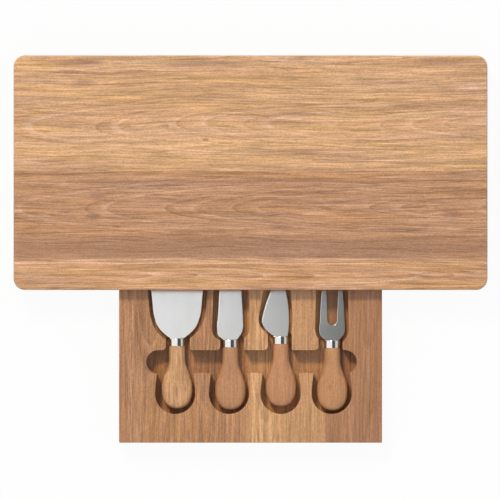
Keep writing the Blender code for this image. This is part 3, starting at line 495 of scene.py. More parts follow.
class Graph:
    """The nodes of a material or of the world, added from the coordinates towards the shader."""

    def __init__(self, owner: Material | bpy.types.World) -> None:
        """Start on a new material or world.

        Args:
            owner: What the nodes belong to.
        """
        self.owner = owner
        owner.use_nodes = True
        self.tree = owner.node_tree

    def add(self, kind: str, values: dict[int | str, object], **settings: object) -> bpy.types.Node:
        """Add a node.

        Args:
            kind: Its type.
            values: Sockets or constants for its inputs, by name or number.
            **settings: Its own settings.

        Returns:
            The node.
        """
        node = self.tree.nodes.new(kind)
        for key, setting in settings.items():
            setattr(node, key, setting)
        for key, value in values.items():
            if isinstance(value, Socket):
                self.tree.links.new(value, node.inputs[key])
            else:
                node.inputs[key].default_value = value
        return node

    def math(self, operation: str, *values: object) -> Socket:
        """Work out a number from sockets or constants."""
        return self.add("ShaderNodeMath", dict(enumerate(values)), operation=operation).outputs[0]

    def times(self, first: object, second: object) -> Socket:
        """Multiply two numbers."""
        return self.math("MULTIPLY", first, second)

    def split(self, output: str) -> bpy.types.bpy_prop_collection:
        """Give the three parts of a coordinate of the piece, by the coordinate's name."""
        place = self.add("ShaderNodeTexCoord", {}).outputs[output]
        return self.add("ShaderNodeSeparateXYZ", {0: place}).outputs

    def axes(self, grain: Grain) -> list[Socket]:
        """Split the place on the piece, in metres, into (along, across, down) the grain."""
        parts = self.split("Object")
        return [parts[index] for index in grain.value]

    def joined(self, *parts: object) -> Socket:
        """Join three numbers into one place or colour."""
        return self.add("ShaderNodeCombineXYZ", dict(enumerate(parts))).outputs[0]

    def scaled(self, place: Socket, scale: Colour, shift: Colour) -> Socket:
        """Scale a place along each axis, and then move it."""
        values = {0: place, 1: scale, 2: shift}
        return self.add("ShaderNodeVectorMath", values, operation="MULTIPLY_ADD").outputs[0]

    def cloud(self, place: Socket, layer: Layer, seed: float = 0.0) -> Socket:
        """Lay one cloudy pattern over a piece.

        Args:
            place: The place, as (along, across, down) the grain.
            layer: The pattern.
            seed: How far it moves besides its own shift, in cells.

        Returns:
            Its level, mostly from 0.3 to 0.7.
        """
        shift = layer.shift + seed
        cells = self.scaled(place, (layer.along, layer.across, layer.across),
                            (shift, shift / 2, -shift))
        return self.add("ShaderNodeTexNoise", {"Vector": cells, "Scale": 1.0, "Detail": layer.detail,
                                               "Roughness": layer.roughness}).outputs[0]

    def spot(self, place: Socket, stain: Stain) -> Socket:
        """Give a soft oval spot.

        Args:
            place: The place, as (along, across, down) the grain.
            stain: Where the spot lies, and its size.

        Returns:
            How near the place is to its middle, from 0 on its rim to 1.
        """
        scale = (1 / stain.half_length, 1 / stain.half_width, 0.0)
        shift = (-stain.along / stain.half_length, -stain.across / stain.half_width, 0.0)
        return self.add("ShaderNodeTexGradient", {0: self.scaled(place, scale, shift)},
                        gradient_type="SPHERICAL").outputs[1]

    def span(self, value: Socket, low: float, high: float, start: float = 0.0,
             end: float = 1.0) -> Socket:
        """Map a number smoothly from low and high to start and end, and hold it between these."""
        values = {0: value, 1: low, 2: high, 3: start, 4: end}
        return self.add("ShaderNodeMapRange", values, interpolation_type="SMOOTHSTEP").outputs[0]

    def curve(self, value: Socket, stops: Shares) -> Socket:
        """Map a number through stops.

        Args:
            value: The number.
            stops: The stops, as (place, grey level).

        Returns:
            The grey level.
        """
        node = self.add("ShaderNodeValToRGB", {0: value})
        elements = node.color_ramp.elements
        while len(elements) < len(stops):
            elements.new(0.5)
        for element, (place, level) in zip(elements, stops):
            element.position = place
            element.color = (level, level, level, 1.0)
        return node.outputs[0]

    def blend(self, share: object, first: object, second: object, mode: str = "MIX") -> Socket:
        """Mix two colours.

        Args:
            share: How much of the second is in the mix.
            first: Socket or colour.
            second: Socket or colour.
            mode: How they mix.

        Returns:
            The mixed colour.
        """
        values = {0: share}
        for key, colour in zip(MIX_COLOURS, (first, second)):
            values[key] = (*colour, 1.0) if isinstance(colour, tuple) else colour
        mix = self.add("ShaderNodeMix", values, data_type="RGBA", blend_type=mode)
        return mix.outputs[MIXED_COLOUR]

    def bump(self, height: Socket, depth: float, strength: float,
             under: Socket | None = None) -> Socket:
        """Raise the surface.

        Args:
            height: How far, from 0 to 1.
            depth: What 1 stands for, in metres.
            strength: How much of it shows.
            under: The surface that it lies on.

        Returns:
            The raised surface's normal.
        """
        values = {"Height": height, "Distance": depth, "Strength": strength}
        if under:
            values["Normal"] = under
        return self.add("ShaderNodeBump", values).outputs[0]

    def seen(self) -> Socket:
        """Tell rays that see a surface from rays that carry its light.

        Returns:
            1 for a ray from the eye, straight or by way of metal or glass, and 0 for others.
        """
        path = self.add("ShaderNodeLightPath", {}).outputs
        mirrored = self.math("MAXIMUM", path["Is Glossy Ray"], path["Is Transmission Ray"])
        return self.math("MAXIMUM", path["Is Camera Ray"], mirrored)

    def light(self, kind: str, colour: object, strength: float = 1.0) -> bpy.types.Node:
        """Add a shader that shines."""
        return self.add(kind, {0: (*colour, 1.0) if isinstance(colour, tuple) else colour, 1: strength})

    def put_out(self, shader: bpy.types.Node) -> None:
        """Link a shader to the output."""
        output = next(node for node in self.tree.nodes if "Output" in node.bl_idname)
        self.tree.links.new(shader.outputs[0], output.inputs[0])

    def choose(self, share: Socket, first: bpy.types.Node, second: bpy.types.Node) -> None:
        """Put out a mix of two shaders, with a share of the second."""
        values = {0: share, 1: first.outputs[0], 2: second.outputs[0]}
        self.put_out(self.add("ShaderNodeMixShader", values))

    def dress(self, **values: object) -> Material:
        """Set the material's main shader and give the material.

        Args:
            **values: Sockets or constants, by the input's name with _ for each space.

        Returns:
            The material.
        """
        for key, value in values.items():
            socket = self.tree.nodes["Principled BSDF"].inputs[key.replace("_", " ")]
            if isinstance(value, Socket):
                self.tree.links.new(value, socket)
            elif isinstance(value, tuple):
                socket.default_value = (*value, 1.0)
            else:
                socket.default_value = value
        return self.owner


def new_finish(name: str) -> Graph:
    """Start the nodes of a new material."""
    return Graph(bpy.data.materials.new(name))


# Patterns of the wood: the sway and tremble of the grain, and then what is drawn along it
SWAY = Layer(7.0, 18.0, 0.0, 2.0, 0.4)
TREMBLE = Layer(24.0, 210.0, 4.0)
BROAD_TINT = Layer(5.0, 60.0, 9.0)
WARM_TINT = Layer(7.0, 130.0, 21.0)
FADING = Layer(9.0, 60.0, 12.0, 2.0, 0.5)
STREAKS = Layer(10.0, 330.0, 2.0, 3.0, 0.7)
FIBRE = Layer(34.0, 850.0, 30.0, 3.0, 0.7)
PORES = Layer(170.0, 1500.0, 6.0, 2.0)
GRIT = Layer(620.0, 1500.0, 15.0, 2.0)
VEINS = Layer(5.0, 170.0, 50.0, 1.0, 0.5)

# Dark late wood and pale early wood, by how far out a place lies within its ring
LATE_WOOD: Shares = ((0.0, 0.0), (0.35, 0.0), (0.70, 0.20), (0.88, 0.65), (0.95, 1.0), (1.0, 0.20))
EARLY_WOOD: Shares = ((0.0, 0.7), (0.06, 1.0), (0.18, 0.50), (0.35, 0.0))


@dataclass(frozen=True)
class StaveWood:
    """Oiled hardwood, sawn flat so that its rings make long arches along the grain.

    The pith is the heart of the tree: it passes a place given as (along, across, up), below the
    surface, and rises along the grain. A window is the levels of a pattern between which it
    takes effect, a ramp also says what it gives at both, and a relief is a depth in metres and
    how much of it shows.
    """

    name: str
    body: Colour
    pale: Colour
    ochre: Colour
    warm: Colour
    smudge: Colour = tone(136, 101, 88)
    grain: Grain = Grain.ALONG_X
    pith: Colour = (0.0, 0.0, 0.0)
    rise: float = 0.05
    ring: float = 0.0022
    ring_pace: float = 0.45
    ring_unevenness: float = 2.2
    ring_contrast: float = 1.6
    ring_least: float = 0.12
    ring_most: float = 1.15
    wander: float = 0.0038
    tremble: float = 0.1
    line_strength: float = 0.95
    glow_strength: float = 0.80
    fibre_strength: float = 0.40
    grit: float = 0.15
    vein_strength: float = 0.65
    vein_width: float = 0.022
    pale_vein: float = 0.535
    dark_vein: float = 0.50
    warm_window: Window = (0.38, 0.62)
    broad_ramp: Ramp = (0.42, 0.74, 0.0, 0.36)
    fade_ramp: Ramp = (0.32, 0.62, 0.50, 1.0)
    patch_ramp: Ramp = (0.38, 0.60, 0.15, 1.0)
    streak_ramp: Ramp = (0.34, 0.60, 0.35, 1.2)
    break_ramp: Ramp = (0.36, 0.60, 0.35, 1.3)
    drift_window: Window = (0.32, 0.68)
    fibre_window: Window = (0.34, 0.66)
    pore_window: Window = (0.34, 0.44)
    pit_window: Window = (0.30, 0.46)
    wide_window: Window = (0.3, 0.7)
    end_window: Window = (0.6, 0.95)
    stain_core: float = 0.75
    end_rings: float = 0.7
    end_calm: float = 0.65
    end_shade: float = 0.82
    fibre_relief: Window = (0.00022, 0.30)
    pore_relief: Window = (0.00008, 0.35)
    ring_relief: Window = (0.00010, 0.40)
    dark_stains: tuple[Stain, ...] = ()
    pale_stains: tuple[Stain, ...] = ()
    seed: float = 0.0
    roughness: float = 0.46
    rough_spread: Window = (0.09, -0.07)
    specular: float = 0.32
    # The routed copy's lower shade is partly the router's darker wood and partly painted shade in the
    # pockets.
    shade: float = 1.0
    routed_roughness: float = 0.62
    router_and_pocket_shade: float = 0.92

    def routed(self) -> "StaveWood":
        """Give the same wood as the router leaves it: rougher, and darker partly as painted shade."""
        return replace(self, name=f"{self.name}_routed", roughness=self.routed_roughness,
                       shade=self.router_and_pocket_shade)

    def bend(self, graph: Graph, along: Socket, across: Socket, down: Socket) -> Socket:
        """Let the grain wander sideways.

        Args:
            graph: The material's nodes.
            along: The place along the grain.
            across: The place across it.
            down: The height.

        Returns:
            The place across the wandering grain.
        """
        straight = graph.joined(along, across, down)
        slow = graph.cloud(straight, SWAY, self.seed)
        quick = graph.cloud(straight, TREMBLE, self.seed)
        swayed = graph.math("MULTIPLY_ADD", slow, self.wander * 2, across)
        trembled = graph.math("MULTIPLY_ADD", quick, self.wander * 2 * self.tremble, swayed)
        return graph.math("SUBTRACT", trembled, self.wander * (1 + self.tremble))

    def rings(self, graph: Graph, along: Socket, across: Socket, down: Socket
              ) -> tuple[Socket, Socket]:
        """Place the growth rings round the pith.

        Args:
            graph: The material's nodes.
            along: The place along the grain.
            across: The place across it.
            down: The height.

        Returns:
            How far out the place lies within its ring, from 0 to 1, and a strength that is the
            same all round the ring.
        """
        start, middle, height = self.pith
        aside = graph.math("SUBTRACT", across, middle)
        foot = graph.math("MULTIPLY_ADD", along, -self.rise, self.rise * start - height)
        depth = graph.math("ADD", down, foot)
        square = graph.math("MULTIPLY_ADD", depth, depth, graph.times(aside, aside))
        radius = graph.math("DIVIDE", graph.math("SQRT", square), self.ring)
        uneven = graph.add("ShaderNodeTexNoise", {"W": graph.times(radius, self.ring_pace),
                                                  "Scale": 1.0, "Detail": 1.0},
                           noise_dimensions="1D").outputs[0]
        count = graph.math("MULTIPLY_ADD", uneven, self.ring_unevenness, radius)
        each = graph.add("ShaderNodeTexWhiteNoise", {"W": graph.math("FLOOR", count)},
                         noise_dimensions="1D").outputs[0]
        return graph.math("FRACT", count), each

    def stained(self, graph: Graph, place: Socket, stains: tuple[Stain, ...],
                broken: Socket) -> Socket:
        """Add up stains.

        Args:
            graph: The material's nodes.
            place: The place on the piece.
            stains: The stains.
            broken: What breaks them up.

        Returns:
            How strongly the place is stained.
        """
        total: object = 0.0
        for stain in stains:
            spot = graph.span(graph.spot(place, stain), 0.0, self.stain_core, 0.0, stain.strength)
            total = graph.math("MAXIMUM", spot, total)
        return graph.times(broken, total)

    def ringed(self, graph: Graph, place: Socket, early: Socket, late: Socket,
               strong: Socket) -> Socket:
        """Colour the rings over broad tints.

        Args:
            graph: The material's nodes.
            place: The place along the wandering grain.
            early: How much pale early wood there is.
            late: How much dark late wood there is.
            strong: How strongly the ring shows.

        Returns:
            The colour.
        """
        warmth = graph.span(graph.cloud(place, WARM_TINT, self.seed), *self.warm_window)
        broad = graph.span(graph.cloud(place, BROAD_TINT, self.seed), *self.broad_ramp)
        colour = graph.blend(broad, graph.blend(warmth, self.body, self.warm), self.pale)
        for wood, strength, line in ((early, self.glow_strength, self.pale),
                                     (late, self.line_strength, self.ochre)):
            drawn = graph.times(graph.times(wood, strong), strength)
            colour = graph.blend(drawn, colour, line)
        return colour

    def marked(self, graph: Graph, place: Socket, fading: Socket, broken: Socket,
               colour: Socket) -> Socket:
        """Draw veins, stains and painted light patches over the rings.

        Args:
            graph: The material's nodes.
            place: The place along the wandering grain.
            fading: The pattern by which lines fade.
            broken: What breaks the stains up.
            colour: The colour so far.

        Returns:
            The colour.
        """
        veins = graph.cloud(place, VEINS, self.seed)
        patchy = graph.span(fading, *self.patch_ramp)
        for level, line in ((self.pale_vein, self.pale), (self.dark_vein, self.ochre)):
            aside = graph.math("ABSOLUTE", graph.math("SUBTRACT", veins, level))
            vein = graph.span(aside, 0.0, self.vein_width, self.vein_strength, 0.0)
            colour = graph.blend(graph.times(vein, patchy), colour, line)
        for stains, stain in ((self.pale_stains, self.pale), (self.dark_stains, self.smudge)):
            colour = graph.blend(self.stained(graph, place, stains, broken), colour, stain)
        return colour

    def shading(self, graph: Graph, patterns: Sequence[Socket], ends: Socket) -> Socket:
        """Shade the wood by its fibres and pores, less on darker end grain.

        Args:
            graph: The material's nodes.
            patterns: The patterns of its streaks, fibres, pores and grit.
            ends: How squarely the surface cuts the grain.

        Returns:
            The shade, as grey.
        """
        streaks, fibre, pores, grit = patterns
        half = self.fibre_strength / 2
        drift = graph.span(streaks, *self.drift_window, -half, half)
        ripple = graph.math("ADD", graph.span(fibre, *self.fibre_window, 1.0 - half, 1.0 + half), drift)
        pitted = graph.times(ripple, graph.span(pores, *self.pore_window, 1.0 - half, 1.0))
        gritty = graph.span(grit, *self.wide_window, 1.0 - self.grit, 1.0 + self.grit)
        uneven = graph.math("SUBTRACT", graph.times(pitted, gritty), 1.0)
        calm = graph.math("MULTIPLY_ADD", ends, -self.end_calm, 1.0)
        even = graph.math("MULTIPLY_ADD", uneven, calm, 1.0)
        # self.shade is below 1 only on routed faces: partly the router's darker wood, partly painted
        # shade.
        shaded = graph.times(even, graph.span(ends, 0.0, 1.0, self.shade, self.shade * self.end_shade))
        return graph.joined(shaded, shaded, shaded)

    def material(self) -> Material:
        """Build the wood: rings, fibres, pores, broad tints, stains and darker end grain.

        Returns:
            The material.
        """
        graph = new_finish(self.name)
        along, across, down = graph.axes(self.grain)
        bent = self.bend(graph, along, across, down)
        place = graph.joined(along, bent, down)
        within, each = self.rings(graph, along, bent, down)
        fading, streaks, fibre, pores, grit = (
            graph.cloud(place, layer, self.seed) for layer in (FADING, STREAKS, FIBRE, PORES, GRIT))

        facing = graph.split("Normal")[self.grain.value[0]]
        ends = graph.span(graph.math("ABSOLUTE", facing), *self.end_window)
        by_ring = graph.math("MULTIPLY_ADD", graph.math("POWER", each, self.ring_contrast),
                             self.ring_most, self.ring_least)
        strong = graph.times(graph.span(fading, *self.fade_ramp), by_ring)
        strong = graph.math("MAXIMUM", strong, graph.times(ends, self.end_rings))
        broken = graph.times(graph.span(streaks, *self.streak_ramp), graph.span(fibre, *self.break_ramp))
        early, late = graph.curve(within, EARLY_WOOD), graph.curve(within, LATE_WOOD)
        colour = self.ringed(graph, place, early, late, strong)
        colour = self.marked(graph, place, fading, broken, colour)
        shade = self.shading(graph, (streaks, fibre, pores, grit), ends)

        rough = graph.span(fibre, *self.wide_window,
                           *(self.roughness + more for more in self.rough_spread))
        fine = graph.bump(fibre, *self.fibre_relief)
        pitting = graph.bump(graph.span(pores, *self.pit_window), *self.pore_relief, fine)
        inward = graph.math("SUBTRACT", 1.0, late)
        return graph.dress(Base_Color=graph.blend(1.0, colour, shade, "MULTIPLY"), Roughness=rough,
                           Normal=graph.bump(inward, *self.ring_relief, pitting),
                           Specular_IOR_Level=self.specular)


@dataclass(frozen=True)
class HardFinish:
    """Metal or rubber with a fine pattern in its surface and a broader one over it.

    Two of its fields say which pattern its marks follow, and which its dull places.
    """

    name: str
    colour: Colour
    marked: Colour
    fine: Layer
    broad: Layer
    marked_by: Pattern
    mark_window: Window
    dulled_by: Pattern
    dull_window: Window
    roughness: Window
    relief: float
    relief_strength: float = 0.3
    mark_share: float = 1.0
    brushing: float = 0.0
    metallic: float = 1.0
    grain: Grain = Grain.ALONG_X

    def material(self) -> Material:
        """Build the finish.

        Returns:
            The material.
        """
        graph = new_finish(self.name)
        place = graph.joined(*graph.axes(self.grain))
        levels = {Pattern.FINE: graph.cloud(place, self.fine),
                  Pattern.BROAD: graph.cloud(place, self.broad)}
        marks = graph.span(levels[self.marked_by], *self.mark_window, 0.0, self.mark_share)
        rough = graph.span(levels[self.dulled_by], *self.dull_window, *self.roughness)
        if self.brushing:
            rough = graph.math("MULTIPLY_ADD", levels[Pattern.FINE], self.brushing, rough)
        return graph.dress(
            Base_Color=graph.blend(marks, self.colour, self.marked), Roughness=rough,
            Metallic=self.metallic,
            Normal=graph.bump(levels[Pattern.FINE], self.relief, self.relief_strength))


def dimmed(colour: Colour, share: float) -> Colour:
    """Take a colour down to a share of itself."""
    return colour[0] * share, colour[1] * share, colour[2] * share


# Satin blade steel, with fine brushing along the blade and faint wiping marks
BLADE_TONE: Colour = (0.785, 0.787, 0.792)
BRUSHED_SHARE = 0.97
BLADE_STEEL = HardFinish(
    "steel_blade", dimmed(BLADE_TONE, BRUSHED_SHARE), BLADE_TONE, fine=Layer(60.0, 2600.0, 1.0),
    broad=Layer(40.0, 90.0, 5.0, 3.0, 0.55), marked_by=Pattern.FINE, mark_window=(0.35, 0.65),
    dulled_by=Pattern.BROAD, dull_window=(0.35, 0.70), roughness=(0.18, 0.21), brushing=0.02,
    relief=0.000004, grain=Grain.ALONG_Y)

# Bright turned steel, with fine rings left by polishing and small scuffs
FERRULE_TONE: Colour = (0.86, 0.86, 0.85)
POLISHED_SHARE = 0.95
FERRULE_STEEL = HardFinish(
    "steel_ferrule", dimmed(FERRULE_TONE, POLISHED_SHARE), FERRULE_TONE,
    fine=Layer(30.0, 2600.0, 3.0), broad=Layer(500.0, 500.0, 8.0), marked_by=Pattern.FINE,
    mark_window=(0.3, 0.7), dulled_by=Pattern.BROAD, dull_window=(0.45, 0.75),
    roughness=(0.06, 0.11), relief=0.000006)

# Plated screw steel, with grime that gathers in patches
SCREW_STEEL = HardFinish(
    "steel_screw", (0.50, 0.50, 0.49), tone(96, 88, 78), fine=Layer(1500.0, 1500.0, 2.0),
    broad=Layer(420.0, 420.0, 7.0), marked_by=Pattern.BROAD, mark_window=(0.5, 0.8),
    dulled_by=Pattern.FINE, dull_window=(0.3, 0.7), roughness=(0.30, 0.46), relief=0.00002,
    relief_strength=0.4)

# Matt black rubber, with a bloom of dust and a fine moulded grain
FOOT_RUBBER = HardFinish(
    "rubber_foot", tone(34, 33, 33), tone(78, 74, 70), fine=Layer(2200.0, 2200.0, 2.0),
    broad=Layer(260.0, 260.0, 6.0), marked_by=Pattern.BROAD, mark_window=(0.45, 0.80),
    mark_share=0.5, dulled_by=Pattern.FINE, dull_window=(0.3, 0.7), roughness=(0.66, 0.84),
    relief=0.00004, relief_strength=0.5, metallic=0.0)


def place_piece(mesh: Mesh, body: Body, finishes: Sequence[Material], stands_for: str) -> Item:
    """Put a finished piece into the scene in place of a node of the model.

    Args:
        mesh: Its mesh, already in place.
        body: What it moves with.
        finishes: Its materials, in the order that its faces name them.
        stands_for: The node, which also names the piece.

    Returns:
        The piece.
    """
    mesh.materials.clear()
    for finish in finishes:
        mesh.materials.append(finish)
    piece = bpy.data.objects.new(f"{stands_for}_piece", mesh)
    bpy.context.scene.collection.objects.link(piece)
    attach(piece, body.value)
    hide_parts(stands_for)
    LOG.info("%s: %d faces on %s", piece.name, len(mesh.polygons), body.value)
    return piece


def carry_over(node: str, finish: Material) -> None:
    """Keep a node of the model and give it a finished material.

    Args:
        node: The node.
        finish: Its material.
    """
    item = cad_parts[node]
    for slot in item.material_slots:
        slot.material = finish
    LOG.info("%s: carried over", node)


# Woods of the serving top, from its back stave to its front one
TOP_WOODS: dict[str, StaveWood] = {
    "top_stave_back": StaveWood(
        "wood_top_back", body=tone(216, 168, 125), pale=tone(234, 193, 160),
        ochre=tone(184, 134, 88), warm=tone(220, 172, 117), pith=(-0.1026, 0.1047, 0.0076),
        rise=0.055, ring=0.0019, seed=3.1,
        dark_stains=(
            Stain(-0.144, 0.1579, 0.0300, 0.0040, 0.60), Stain(-0.043, 0.1560, 0.0560, 0.0036, 0.50),
            Stain(-0.154, 0.1503, 0.0140, 0.0025, 0.60), Stain(-0.140, 0.1419, 0.0155, 0.0036, 0.40),
            Stain(-0.148, 0.1275, 0.0170, 0.0026, 0.30), Stain(0.164, 0.1590, 0.0400, 0.0046, 0.55),
            Stain(-0.072, 0.1030, 0.0050, 0.0018, 0.60), Stain(-0.038, 0.0912, 0.0040, 0.0015, 0.55),
            Stain(0.150, 0.1225, 0.0450, 0.0022, 0.30)),
        pale_stains=(
            Stain(0.033, 0.1590, 0.0430, 0.0045, 0.60), Stain(0.185, 0.1360, 0.0190, 0.0070, 0.55))),
    "top_stave_middle": StaveWood(
        "wood_top_middle", body=tone(194, 146, 108), pale=tone(214, 170, 140),
        ochre=tone(158, 112, 74), warm=tone(194, 144, 100), pith=(-0.1118, 0.0355, 0.0076),
        rise=0.055, ring=0.0019, seed=11.7,
        dark_stains=(
            Stain(0.0, 0.0575, 0.2600, 0.0018, 0.42), Stain(0.0, 0.0010, 0.5000, 0.0140, 0.42),
            Stain(-0.129, 0.0456, 0.0110, 0.0044, 0.42), Stain(-0.133, 0.0288, 0.0100, 0.0042, 0.60),
            Stain(-0.113, 0.0195, 0.0055, 0.0021, 0.60), Stain(-0.157, 0.0330, 0.0090, 0.0016, 0.50),
            Stain(0.171, 0.0288, 0.0110, 0.0042, 0.50), Stain(0.175, 0.0473, 0.0100, 0.0036, 0.40),
            Stain(0.147, 0.0195, 0.0080, 0.0018, 0.45), Stain(0.025, 0.0195, 0.0150, 0.0026, 0.45),
            Stain(0.173, -0.0033, 0.0320, 0.0013, 0.60), Stain(-0.060, 0.0465, 0.0085, 0.0014, 0.50)),
        pale_stains=(Stain(0.076, -0.0016, 0.0500, 0.0011, 0.70),)),
    "top_stave_front": StaveWood(
        "wood_top_front", body=tone(209, 158, 116), pale=tone(232, 190, 158),
        ochre=tone(180, 127, 80), warm=tone(213, 161, 105), pith=(0.0755, -0.0227, 0.0196),
        rise=-0.020, ring=0.0012, seed=19.3, wander=0.0030,
        pale_stains=(Stain(-0.1625, -0.0236, 0.0105, 0.0018, 0.75),
                     Stain(-0.0500, -0.0105, 0.3500, 0.0042, 0.36))),
}

# Woods of the base
BASE_WOODS: dict[str, StaveWood] = {
    "base_block_left": StaveWood(
        "wood_block_left", body=tone(190, 142, 104), pale=tone(208, 164, 128),
        ochre=tone(156, 110, 76), warm=tone(194, 144, 98), grain=Grain.ALONG_Y,
        pith=(0.0, -0.150, -0.020), rise=0.04, ring=0.0026, seed=27.0),
    "base_block_right": StaveWood(
        "wood_block_right", body=tone(186, 136, 98), pale=tone(206, 158, 120),
        ochre=tone(152, 104, 72), warm=tone(190, 140, 94), grain=Grain.ALONG_Y,
        pith=(0.0, 0.165, -0.024), rise=-0.03, ring=0.0024, seed=33.0),
    "base_rail_back": StaveWood(
        "wood_rail_back", body=tone(196, 148, 108), pale=tone(212, 168, 130),
        ochre=tone(160, 114, 78), warm=tone(200, 152, 102), pith=(0.0, 0.150, -0.016),
        rise=0.02, seed=39.0),
}
RUNNER_WOOD = StaveWood(
    "wood_runner", body=tone(202, 160, 118), pale=tone(216, 178, 138), ochre=tone(174, 130, 92),
    warm=tone(206, 164, 114), grain=Grain.ALONG_Y, pith=(0.0, 0.05, -0.05), rise=0.02,
    ring=0.0018, seed=45.0)

# Woods of the drawer, from its left stave to its right one
DRAWER_WOODS: dict[str, StaveWood] = {
    "drawer_stave_left": StaveWood(
        "wood_drawer_left", body=tone(182, 132, 93), pale=tone(202, 154, 114),
        ochre=tone(150, 105, 70), warm=tone(184, 134, 88), grain=Grain.ALONG_Y,
        pith=(-0.10, -0.085, -0.012), seed=51.0, fibre_strength=0.34,
        dark_stains=(
            Stain(-0.098, -0.0891, 0.0270, 0.0028, 0.60), Stain(-0.060, -0.0899, 0.0260, 0.0026, 0.40),
            Stain(-0.151, -0.0213, 0.0145, 0.0009, 0.80), Stain(-0.123, -0.0401, 0.0140, 0.0026, 0.40),
            Stain(-0.157, -0.0519, 0.0070, 0.0021, 0.50)),
        pale_stains=(Stain(-0.102, -0.0992, 0.1200, 0.0042, 0.50),)),
    "drawer_stave_middle": StaveWood(
        "wood_drawer_middle", body=tone(205, 152, 104), pale=tone(225, 178, 128),
        ochre=tone(172, 122, 76), warm=tone(206, 156, 104), grain=Grain.ALONG_Y,
        pith=(-0.12, 0.012, -0.010), rise=0.04, seed=57.0, fibre_strength=0.32,
        dark_stains=(Stain(-0.110, 0.0400, 0.3000, 0.0190, 0.16),),
        pale_stains=(Stain(-0.127, 0.0097, 0.2500, 0.0150, 0.45),)),
    "drawer_stave_right": StaveWood(
        "wood_drawer_right", body=tone(173, 124, 90), pale=tone(189, 142, 109),
        ochre=tone(144, 100, 68), warm=tone(174, 125, 84), grain=Grain.ALONG_Y,
        pith=(-0.12, 0.100, -0.020), rise=0.03, ring=0.0026, seed=63.0, line_strength=0.45,
        fibre_strength=0.26, grit=0.12,
        dark_stains=(Stain(-0.147, 0.0899, 0.0070, 0.0008, 0.70),)),
}
DOWEL_WOOD = StaveWood(
    "wood_dowel", body=tone(208, 166, 122), pale=tone(222, 184, 142), ochre=tone(180, 136, 96),
    warm=tone(212, 170, 118), pith=(0.0, 0.0, -0.04), ring=0.0016, seed=69.0)


# Sub-assemblies


@dataclass
class ServingTop:
    """Slab of three glued staves with two blind grooves for the stop dowels underneath."""

    corner_radius: float = 0.0098
    edge_round: float = 0.0016
    edge_steps: int = 5
    overrun: float = 0.004
    groove_x: float = 0.0990
    groove_half: float = 0.0035
    groove_end_share: float = 0.98
    groove_steps: int = 8
    groove_depth: float = 0.0036
    groove_front: float = 0.00385
    groove_back: float = 0.14005

    def groove(self, side: Side, floor: float) -> Mesh:
        """Make the cutter of one dowel groove.

        Args:
            side: The side that it is on.
            floor: Height of the slab's underside.

        Returns:
            The cutter.
        """
        middle = side.value * self.groove_x
        outline = rounded_rectangle(Vector((middle - self.groove_half, self.groove_front)),
                                    Vector((middle + self.groove_half, self.groove_back)),
                                    self.groove_half * self.groove_end_share, self.groove_steps)
        return raised(f"dowel_groove_{side.word}",
                      [(outline, floor - self.overrun), (outline, floor + self.groove_depth)])

    def build(self, bench: Bench) -> None:
        """Cut the staves from one slab.

        Args:
            bench: Where they are cut.
        """
        nodes = list(reversed(TOP_WOODS))
        low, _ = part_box(nodes[0])
        _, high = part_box(nodes[-1])
        slab = cushioned("slab", low, high, self.corner_radius, self.edge_round, self.edge_steps)
        slab = bench.cut("slab", slab, [bench.cutter(self.groove(side, low.z)) for side in Side])
        for node, mesh in bench.saw(slab, spans_along(1, nodes, self.overrun)).items():
            place_piece(mesh, Body.BOARD, [TOP_WOODS[node].material()], node)


@dataclass
class Base:
    """Side blocks, back rail and runners under the slab."""

    corner_radius: float = 0.0090
    edge_round: float = 0.0010
    edge_steps: int = 4
    overrun: float = 0.004
    seat: float = 0.0001

    def seats(self, bench: Bench) -> list[Item]:
        """Set out the cutters of the grooves that the runners are glued into.

        Args:
            bench: Where the blocks are cut.

        Returns:
            The cutters.
        """
        grow = Vector((self.seat, self.seat, self.seat))
        cutters = []
        for side in Side:
            low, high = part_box(f"runner_{side.word}")
            cutters.append(bench.cutter(block(f"seat_{side.word}", low - grow, high + grow)))
        return cutters

    def build(self, bench: Bench) -> None:
        """Cut the blocks and the rail from one outline, and dress the runners.

        Args:
            bench: Where they are cut.
        """
        left, right, rail = BASE_WOODS
        low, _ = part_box(left)
        _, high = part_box(right)
        blank = cushioned("base", low, high, self.corner_radius, self.edge_round, self.edge_steps)
        spans = spans_along(0, (left, rail, right), self.overrun)
        spans[rail][0].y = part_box(rail)[0].y
        in_order = {node: spans[node] for node in BASE_WOODS}
        for node, mesh in bench.saw(blank, in_order, self.seats(bench)).items():
            place_piece(mesh, Body.BOARD, [BASE_WOODS[node].material()], node)
        runner = RUNNER_WOOD.material()
        for side in Side:
            carry_over(f"runner_{side.word}", runner)


